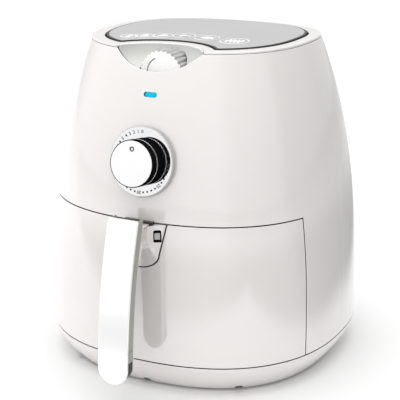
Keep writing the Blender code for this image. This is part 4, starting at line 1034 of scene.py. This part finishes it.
def make_vent_and_gland():
    middle = (VENT_LOW_Z + VENT_HIGH_Z) / 2
    half = x_on_front(VENT_HALF - FIT, VENT_LOW_Z)
    pitch = (VENT_HIGH_Z - VENT_LOW_Z) / 7
    slots = []
    for row in range(6):
        z = VENT_LOW_Z + pitch * (row + 1)
        for side in (-1, 1):
            slots.append(rectangle(-LAP / 2 + side * 0.022, z, 0.0186, 0.0018, 0.0016))
    outline = rectangle(-LAP / 2, middle, half, (VENT_HIGH_Z - VENT_LOW_Z) / 2 - FIT, 0.0018)
    grille = sunk(slab(outline, slots, 0.0026, 0.0004, across=0.006, up=0.008), 0.0005)
    piece("outlet_grille", grille, "housing", "dark_plastic", "rear_vent", place=on_shell)
    step = 0.010
    turn = math.atan2(front_y(GLAND_X + step, GLAND_Z) - front_y(GLAND_X - step, GLAND_Z), 2 * step)
    at = Matrix.Translation((GLAND_X, AXIS_Y - front_y(GLAND_X, GLAND_Z), GLAND_Z))
    at = at @ Matrix.Rotation(-turn, 4, "Z") @ Matrix.Rotation(-math.pi / 2, 4, "X")
    bore, flange, head = 0.0042, 0.0095, 0.0024
    section = [(bore, -0.010), (GLAND_RADIUS, -0.010), (GLAND_RADIUS, 0.0008), (flange, 0.0008),
               (flange, 0.0016), (GLAND_RADIUS, head), (bore, head)]
    section = rounded(section, [0.0006, 0.0006, 0, 0.0002, 0.0004, 0.0006, 0.0009], 4)
    piece("cord_bush", turned(section, 96), "housing", "dark_plastic", "cord_gland", place=moved(at))


def make_feet():
    for word in ("front_left", "front_right", "rear_left", "rear_right"):
        low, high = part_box("foot_" + word)
        radius, top = (high.x - low.x) / 2, high.z
        pad = turned(rounded(drum(radius, 0, top), [0, 0.0009, 0.0002, 0], 5, False), 64)
        middle = Matrix.Translation(((low.x + high.x) / 2, (low.y + high.y) / 2, 0))
        piece("pad_" + word, pad, "housing", "rubber", "foot_" + word, place=moved(middle))


# ---- dials and lamp -----------------------------------------------------------------------------------
def lettering(text, size, matrix, thick):
    """A bmesh of generic numerals, centred, standing thick above their plane."""
    curve = bpy.data.curves.new("lettering", "FONT")
    curve.body = text
    curve.size = size
    curve.align_x = "CENTER"
    curve.align_y = "CENTER"
    curve.extrude = thick / 2
    curve.offset = size * 0.012
    curve.resolution_u = 3
    item = added("lettering", curve)
    view = bpy.context.evaluated_depsgraph_get()
    mesh = bpy.data.meshes.new_from_object(item.evaluated_get(view))
    bm = bmesh.new()
    bm.from_mesh(mesh)
    bm.transform(matrix @ Matrix.Translation((0, 0, thick / 2)))
    bpy.data.meshes.remove(mesh)
    bpy.data.objects.remove(item)
    bpy.data.curves.remove(curve)
    return bm


def edge_finish(item, matrix, finish, limit):
    """Gives the faces of a turned piece that don't look along its axis a second finish; here a darker one, as
    painted shade on its sides.
    """
    axis = matrix.to_3x3().col[2]
    item.data.materials.append(FINISH[finish])
    for face in item.data.polygons:
        if face.normal.dot(axis) < limit:
            face.material_index = 1


def make_timer():
    """The dial's plate with its scale, and the knob: two black drums with a groove between bright threads."""
    back, face = DIAL_STANDOFF, DIAL_STANDOFF + DIAL_THICK
    place = moved(TIMER)
    inner, outer = 0.0045, DIAL_RADIUS + 0.0006
    profile = rounded([(inner, back), (outer, back), (outer, face), (inner, face)], [0, 0.0006, 0.0014, 0], 7)
    plate = piece("dial_plate", turned(profile, 160), "timer_dial_body", "chrome", "timer_dial", place=place)
    # painted shade: the plate's rim and sides take a darker finish
    edge_finish(plate, TIMER, "plate_edge_painted_shade", 0.93)
    low, top = face + FIT, face + KNOB_HEIGHT
    middle, upper, edge = low + KNOB_REAR, low + KNOB_REAR + KNOB_GROOVE, top - KNOB_EDGE
    drums = [turned(rounded(drum(KNOB_RADIUS, *ends), [0, KNOB_EDGE, KNOB_EDGE, 0], 4, False), 160)
             for ends in ((low, middle), (upper, edge))]
    groove = turned(drum(KNOB_RADIUS - KNOB_GROOVE_DEPTH, middle, upper), 160)
    piece("knob_drum", combined(*drums, groove), "timer_dial_body", "dark_plastic",
          "timer_knob", place=place, finish="knob_black")
    threads = []
    for level in (middle, upper):
        ring = rectangle(KNOB_RADIUS - KNOB_EDGE, level, 0.0005, KNOB_THREAD / 2)
        threads.append(turned(rounded(ring, 0.0001, 2), 160))
    piece("knob_threads", combined(*threads), "timer_dial_body", "chrome", "timer_knob", place=place)
    cap = drum(KNOB_RADIUS - KNOB_CAP_INSET, edge + 0.0001, top)
    piece("knob_cap", turned(rounded(cap, [0, 0, 0.0002, 0], 4, False), 160), "timer_dial_body", "chrome",
          "timer_knob", place=place, finish="knob_face")
    marks = []
    per_minute = math.radians(9)
    for minute in range(31):
        at = Matrix.Rotation(per_minute * minute, 4, "Z") @ Matrix.Translation((0, SCALE_RADIUS, face))
        if minute < 5 or minute % 5 == 0:
            marks.append(lettering(str(minute), NUMERAL_SIZE, at, PRINT_THICK))
        else:
            dot = turned(drum(SCALE_DOT_RADIUS, 0, PRINT_THICK), 16)
            dot.transform(at)
            marks.append(dot)
    piece("dial_print", combined(*marks), "timer_dial_body", "dark_plastic", "timer_dial", place=place,
          finish="print_grey")
    hollow = ellipse(0.0001, 0, POINTER_HOLE, POINTER_HOLE, 40)
    pointer = slab(ellipse(0, 0, POINTER_RADIUS, POINTER_RADIUS, 40), [hollow], PRINT_THICK, 0)
    pointer.transform(Matrix.Translation((0, POINTER_Y, top + PRINT_THICK))
                      @ Matrix.Rotation(math.pi / 2, 4, "X"))
    piece("knob_pointer", pointer, "timer_dial_body", "dark_plastic", "timer_knob", place=place,
          finish="print_grey")


def fluted(radius, z):
    """A ring with rounded flutes between flat lands."""
    ring = []
    per = 16
    for i in range(THERMO_FLUTES * per):
        a = 2 * math.pi * i / (THERMO_FLUTES * per)
        share = 0.5 - 0.5 * math.cos(2 * math.pi * (i % per) / per)
        reach = radius - THERMO_FLUTE_DEPTH * share ** 1.5
        ring.append((reach * math.cos(a), reach * math.sin(a), z))
    return ring


def make_thermostat():
    place = moved(THERMO)
    edge = 0.0008
    back, chamfer = -THERMO_LENGTH, 0.0004
    rings = [fluted(THERMO_RADIUS - chamfer, back), fluted(THERMO_RADIUS, back + chamfer)]
    rings += [fluted(THERMO_RADIUS, z) for z in levels(back + 0.003, -edge - 0.001, 6)]
    for a in levels(0, math.pi / 2, 6):
        rings.append(fluted(THERMO_RADIUS - edge * (1 - math.cos(a)), -edge + edge * math.sin(a)))
    # painted light: the wheel's face has a faint glow
    wheel = piece("temperature_wheel", loft(rings), "thermostat_dial_body", "shell_white", "thermostat_knob",
                  place=place, finish="wheel_white_painted_glow")
    # painted shade: the wheel's flutes take a grey finish
    edge_finish(wheel, THERMO, "wheel_flutes_painted_shade", 0.6)
    outer, inner = [], []
    for share in levels(0, 1, 40):
        a = math.radians(98 + 150 * share)
        radius = 0.0116 + 0.0036 * share
        half = 0.00010 + 0.0004 * share
        outer.append(((radius + half) * math.cos(a), (radius + half) * math.sin(a)))
        inner.append(((radius - half) * math.cos(a), (radius - half) * math.sin(a)))
    crescent = slab(outer + inner[::-1], (), PRINT_THICK, 0)
    dot = slab(ellipse(0.0116 * math.cos(math.radians(92)), 0.0116, 0.0007, 0.0007, 24), (), PRINT_THICK, 0)
    marks = combined(crescent, dot)
    marks.transform(Matrix.Translation((0, 0, PRINT_THICK)) @ Matrix.Rotation(math.pi / 2, 4, "X"))
    piece("wheel_print", marks, "thermostat_dial_body", "shell_white", "thermostat_knob", place=place,
          finish="mark_grey")


def make_lamp():
    lens = slab(shifted(stadium(LAMP_LENGTH, LAMP_HEIGHT), 0, LAMP_Z), (), 0.0042, 0.0007, across=0.001)
    piece("lamp_window", sunk(lens, -0.0003), "housing", "lamp_lens", "indicator_lens", place=on_shell)


# ---- handle -------------------------------------------------------------------------------------------
def handle_outline(inset, low, high, top_radius=0.001):
    """The handle's face as (x, z): round at its lower end unless it starts higher up."""
    half = HANDLE_HALF - inset
    centre = HANDLE_LOW_Z + HANDLE_HALF
    if low < centre:
        points = [(half * math.sin(a), centre - half * math.cos(a))
                  for a in levels(-math.pi / 2, math.pi / 2, 49)]
        radii = [0] * len(points)
    else:
        points = [(-half, low), (half, low)]
        radii = [0.0003, 0.0003]
    points += [(half, high), (-half, high)]
    return rounded(points, radii + [top_radius] * 2, 6)


def make_handle():
    outline = handle_outline(0, HANDLE_LOW_Z, HANDLE_TOP_Z, 0.0018)
    cover = slab(outline, (), COVER_THICK, 0.0008, 0.0003, **HANDLE_BEND)
    # painted light: the cover's finish glows faintly
    piece("handle_face", cover, "drawer", "cover_silver", "handle_cover", place=on_handle(0))
    near = COVER_THICK + FIT
    thick = TRIM_BACK - near
    side = HANDLE_HALF - TRIM_INSET
    top = HANDLE_TOP_Z - TRIM_INSET
    inner = NECK_HALF
    points = [(-side, TRIM_PART_Z), (side, TRIM_PART_Z), (side, top), (inner, top), (inner, NECK_TOP_Z),
              (-inner, NECK_TOP_Z), (-inner, top), (-side, top)]
    points = rounded(points, [0.0003, 0.0003, 0.0005, 0.0005, 0.001, 0.001, 0.0005, 0.0005], 4)
    trim = slab(points, (), thick, 0.0003, 0.0004, **HANDLE_BEND)
    piece("handle_sides", trim, "drawer", "trim_grey", "handle_trim", place=on_handle(near))
    low = rectangle(0, (END_CAP_Z + TRIM_PART_Z - FIT) / 2, side, (TRIM_PART_Z - FIT - END_CAP_Z) / 2)
    lower = slab(rounded(low, 0.0003, 4), (), thick, 0.0003, 0.0004, **HANDLE_BEND)
    piece("handle_sides_low", lower, "drawer", "trim_grey", "handle_trim", place=on_handle(near))
    # painted shade: the end cap's dark finish stands in for the shade and dark reflection on the handle's lower
    # end
    outline = handle_outline(TRIM_INSET, HANDLE_LOW_Z, END_CAP_Z - FIT, 0.0003)
    cap = slab(outline, (), thick, 0.0003, 0.0012, **HANDLE_BEND)
    piece("handle_tip_painted_shade", cap, "drawer", "dark_plastic", "handle_end_cap", place=on_handle(near))
    make_grip()
    make_guard_and_button()


def neck_rings():
    """Rings from the notch in the drawer's front, flared in to the neck and on into the grip."""
    root = notch_outline(NOTCH_GAP, 3)
    sides = len(root)
    root += [(x, root[0][1]) for x in levels(-NOTCH_TOP_HALF, NOTCH_TOP_HALF, 21)[1:-1]]
    lowest = min(z for _, z in root)
    flare = NECK_FLARE
    rings = [[(x, NECK_ROOT_Y, z) for x, z in root]]
    for depth in [flare * k ** 2 for k in levels(0, 1, 18)] + levels(flare + 0.001, NECK_LENGTH, 9):
        ease = 1.0 if depth >= flare else math.sqrt(1 - (1 - depth / flare) ** 2)
        fall = max(0.0, (depth - flare) / (NECK_LENGTH - flare))
        low_z = lowest + NECK_RISE * ease - NECK_DIP * fall ** 2
        top = root[0][1] + (NECK_TOP_Z - root[0][1]) * ease
        ring = []
        for i, (x, z) in enumerate(root):
            share = (root[0][1] - z) / (root[0][1] - lowest)
            if i < sides:
                narrow = math.copysign(NECK_HALF * min(1.0, (1.02 - share ** 4) * 1.6), x) if x else 0.0
            else:
                narrow = x * NECK_TOP_SHARE
            new_z = top - share * (top - low_z)
            y = float(front_y(x, z)) - depth if depth < NECK_LENGTH else float(handle_front(new_z)) + 0.0138
            ring.append((x + (narrow - x) * ease, y, new_z))
        rings.append(ring)
    return rings


def make_grip():
    outline = handle_outline(0.0012, HANDLE_LOW_Z, NECK_TOP_Z, 0.0006)
    bar = slab(outline, (), GRIP_BACK - TRIM_BACK - FIT, 0.0003, 0.0040, steps=6, **HANDLE_BEND)
    points = np.array([v.co for v in bar.verts])
    shift = on_handle(TRIM_BACK + FIT)(points)
    for vertex, point in zip(bar.verts, shift):
        vertex.co = Vector(point) - Vector((0, AXIS_Y, 0))
    solid = boolean(loft(neck_rings()), bar, "UNION")
    well = turned(drum(BUTTON_RADIUS + 0.0004, SPRING_SEAT_Z, 0.2), 48)
    well.transform(Matrix.Translation((0, BUTTON_Y, 0)))
    solid = boolean(solid, well, "DIFFERENCE")
    make_snap_windows(solid)
    grip = piece("handle_grip", solid, "drawer", "shell_white", "handle_body")
    # painted shade: the faces on the grip's back take the dark finish
    grip.data.materials.append(FINISH["grip_back_painted_shade"])
    for face in grip.data.polygons:
        back = float(handle_front(face.center.z)) + GRIP_BACK + AXIS_Y
        if face.normal.y > 0.75 and abs(face.center.y - back) < 0.0012:
            face.material_index = 1


def make_guard_and_button():
    back = float(front_y(0, DRAWER_TOP_Z + SEAM)) - 0.0008
    low, top = NECK_TOP_Z + FIT, NECK_TOP_Z + GUARD_TALL
    front, middle, skirt_half = back - GUARD_LENGTH, back - GUARD_GRIP_DEPTH - 0.0001, 0.0006
    grip = rectangle(back - GUARD_GRIP_DEPTH / 2, (low + top) / 2, GUARD_GRIP_DEPTH / 2, (top - low) / 2)
    skirt = rectangle((middle + front) / 2, low + skirt_half, (middle - front) / 2, skirt_half)
    for name, outline, half, finish in (("shield_grip", grip, GUARD_GRIP_HALF, "smoked_guard"),
                                        ("shield_plate", skirt, GUARD_HALF, "shell_white")):
        def place(p, half=half):
            return np.stack([p[:, 1] - half, p[:, 0] + AXIS_Y, p[:, 2]], 1)
        shield = slab(rounded(outline, 0.0003, 4), (), 2 * half, 0.0005, 0.0005)
        piece(name, shield, "guard", "smoked_guard", "button_guard", place=place, finish=finish)
    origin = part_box("release_button")[0].z
    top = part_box("release_button")[1].z
    stem, step = 0.0018, origin + 0.0071
    section = [(0, origin), (stem, origin), (stem, step)] + drum(BUTTON_RADIUS, step, top)[1:]
    cap = turned(rounded(section, [0, 0.0003, 0, 0.0004, 0.0009, 0], 5, False), 64)
    piece("button_cap", cap, "button", "trim_grey", "release_button",
          place=moved(Matrix.Translation((0, AXIS_Y + BUTTON_Y, 0))))


def make_snap_windows(neck):
    """A framed clip window on each flank of the handle's root, laid on to the neck's own surface."""
    tree = BVHTree.FromBMesh(neck)
    for side, word in ((1, "right"), (-1, "left")):
        aim = Vector((-side * math.cos(WINDOW_TURN), math.sin(WINDOW_TURN), 0))
        across = Vector((side * math.sin(WINDOW_TURN), math.cos(WINDOW_TURN), 0)) * side

        def place(p, side=side, aim=aim, across=across):
            out = []
            for u, depth, v in p.tolist():
                start = Vector((side * WINDOW_X, WINDOW_Y, WINDOW_Z + v)) + across * u - aim * 0.03
                out.append(tuple(tree.ray_cast(start, aim)[0] + aim * depth + Vector((0, AXIS_Y, 0))))
            return np.array(out)
        outer = rectangle(0, 0, WINDOW_HALF, WINDOW_TALL, 0.0014)
        inner = rectangle(0, 0, WINDOW_HALF - WINDOW_FRAME, WINDOW_TALL - WINDOW_FRAME_TALL, 0.0006)
        frame_ring = slab(outer, [inner], 0.0012, 0.0003, **WINDOW_BEND)
        pane = slab(grown(inner, -0.0001), (), 0.0006, 0.0003, **WINDOW_BEND)
        sunk(frame_ring, -0.0004)
        sunk(pane, -0.0002)
        piece("clip_frame_" + word, frame_ring, "drawer", "dark_plastic", place=place, finish="knob_black")
        piece("clip_pane_" + word, pane, "drawer", "trim_grey", place=place, finish="lid_silver")


# ---- pan and basket -----------------------------------------------------------------------------------
def tub_rings(half, floor_z, top_z, wall, flange, foot_half):
    """An open squircle tub with a rounded bend at its floor and a rolled flange."""
    bend = 0.008
    outside = [(foot_half - bend * (1 - math.sin(a)), floor_z + bend * (1 - math.cos(a)))
               for a in levels(0, math.pi / 2, 8)]
    low_z = outside[-1][1]
    outside[-1] = (foot_half + 0.0003, low_z)
    wall_out = [(foot_half + (half - foot_half) * k, low_z + (top_z - 0.002 - low_z) * k)
                for k in levels(0, 1, 14)[1:]]
    reach = half + flange
    rim = [(reach - 0.0005, top_z - 0.002), (reach, top_z - 0.001), (reach - 0.0005, top_z),
           (half - wall, top_z)]
    wall_in = [(radius - wall, z) for radius, z in reversed(wall_out[:-1])]
    inside = [(radius - wall, z + wall * 0.9) for radius, z in reversed(outside)]
    return outside + wall_out + rim + wall_in + inside


def make_pan():
    pan = [[(x, y, z) for x, y in plan_outline(half, 160)]
           for half, z in tub_rings(PAN_HALF, PAN_FLOOR_Z, PAN_TOP_Z, PAN_WALL, PAN_FLANGE, PAN_FOOT_HALF)]
    piece("drip_pan", loft(pan), "drawer", "nonstick", "pan")


def perforated(columns, rows, width, low, high, slot_half, slot_tall, thick):
    """A plate of square cells, each with a round-ended slot, as (x, depth, z) from one end to the other."""
    bm = bmesh.new()
    per_side = 4
    cell_x, cell_z = width / columns, (high - low) / rows
    square = []
    for i in range(4 * per_side):
        side, k = divmod(i, per_side)
        k /= per_side
        square.append([(-0.5 + k, -0.5), (0.5, -0.5 + k), (0.5 - k, 0.5), (-0.5, 0.5 - k)][side])
    slot = []
    for u, v in square:
        a = math.atan2(v, u)
        straight = slot_tall - slot_half
        x, z = slot_half * math.cos(a), slot_half * math.sin(a)
        slot.append((x, z + math.copysign(straight, v) if abs(v) > 0.01 else z))
    count = len(square)
    for column in range(columns):
        for row in range(rows):
            x = -width / 2 + (column + 0.5) * cell_x
            z = low + (row + 0.5) * cell_z
            loops = []
            for depth in (0.0, thick):
                edge = [bm.verts.new((x + u * cell_x, depth, z + v * cell_z)) for u, v in square]
                hole = [bm.verts.new((x + u, depth, z + v)) for u, v in slot]
                loops.append((edge, hole))
                strip(bm, edge, hole)
            strip(bm, loops[0][1], loops[1][1])
            for i in range(count):
                corners = [square[i], square[(i + 1) % count]]
                under = row == 0 and all(v == -0.5 for _, v in corners)
                over = row == rows - 1 and all(v == 0.5 for _, v in corners)
                if under or over:
                    j = (i + 1) % count
                    bm.faces.new((loops[0][0][i], loops[0][0][j], loops[1][0][j], loops[1][0][i]))
    bmesh.ops.remove_doubles(bm, verts=bm.verts, dist=1e-6)
    bmesh.ops.recalc_face_normals(bm, faces=bm.faces)
    return bm


def basket_half(z):
    share = (z - BASKET_FLOOR_Z - 0.004) / (BASKET_TOP_Z - 0.002 - BASKET_FLOOR_Z - 0.004)
    return BASKET_HALF + BASKET_DRAFT * (np.clip(share, 0, 1) - 1)


def on_basket(p):
    """A plate's (x, depth, z) on the basket's tapered wall."""
    along = p[:, 0] / BASKET_HALF
    x, y = np.interp(along, PLAN_ALONG, PLAN_X), np.interp(along, PLAN_ALONG, PLAN_Y)
    half = basket_half(p[:, 2]) - p[:, 1]
    return np.stack([x * half, y * half + AXIS_Y, p[:, 2]], 1)


def make_basket():
    wall, flange, top = 0.0010, 0.0022, BASKET_TOP_Z
    low_z, high_z = BASKET_FLOOR_Z + 0.008, top - 0.012
    lap = PERIMETER * BASKET_HALF
    sheet = perforated(72, 7, lap, low_z, high_z, 0.0014, 0.0036, wall)
    piece("basket_wall", sheet, "drawer", "nonstick", "basket", place=on_basket, seam=True)
    upper = float(basket_half(high_z))
    rim = [(upper, high_z - 0.0002), (BASKET_HALF, top - 0.003), (BASKET_HALF + flange, top - 0.003),
           (BASKET_HALF + flange, top), (BASKET_HALF - wall, top), (upper - wall, high_z - 0.0002)]
    rim = rounded(rim, [0, 0.0006, 0.0005, 0.0008, 0.0008, 0], 4)
    lower = float(basket_half(low_z))
    foot = BASKET_HALF - BASKET_DRAFT - 0.006
    bend = [(lower, low_z + 0.0002), (lower - 0.0002, BASKET_FLOOR_Z), (foot, BASKET_FLOOR_Z),
            (foot, BASKET_FLOOR_Z + wall), (lower - 0.0002 - wall, BASKET_FLOOR_Z + wall),
            (lower - wall, low_z + 0.0002)]
    bend = rounded(bend, [0, 0.0045, 0, 0, 0.0036, 0], 6)
    for name, section in (("basket_rim", rim), ("basket_bend", bend)):
        rings = [[(x, y, z) for x, y in plan_outline(half, 200)] for half, z in section]
        piece(name, loft(rings, closed=True), "drawer", "nonstick", "basket")
    slots = []
    for row in range(-6, 7):
        y = row * 0.0135
        reach = 0.080 * math.sqrt(1 - (y / 0.0895) ** 2)
        count = max(1, round(reach / 0.0135))
        for k in range(count):
            middle = (2 * k + 1 - count) * reach / count
            slots.append(shifted(stadium(2 * reach / count - 0.005, 0.0050), middle, y))
    floor = slab(plan_outline(foot + 0.0002), slots, wall, 0.0003, 0.0002, steps=2)
    piece("basket_floor", floor, "drawer", "nonstick", "basket", place=lying(BASKET_FLOOR_Z + wall))


make_camera()
make_floor()
make_lights()
make_housing()
make_drawer_front()
make_base()
make_top()
make_lid_print()
make_scoop()
make_vent_and_gland()
make_feet()
make_timer()
make_thermostat()
make_lamp()
make_handle()
make_pan()
make_basket()
bpy.context.scene.view_settings.view_transform = "Standard"
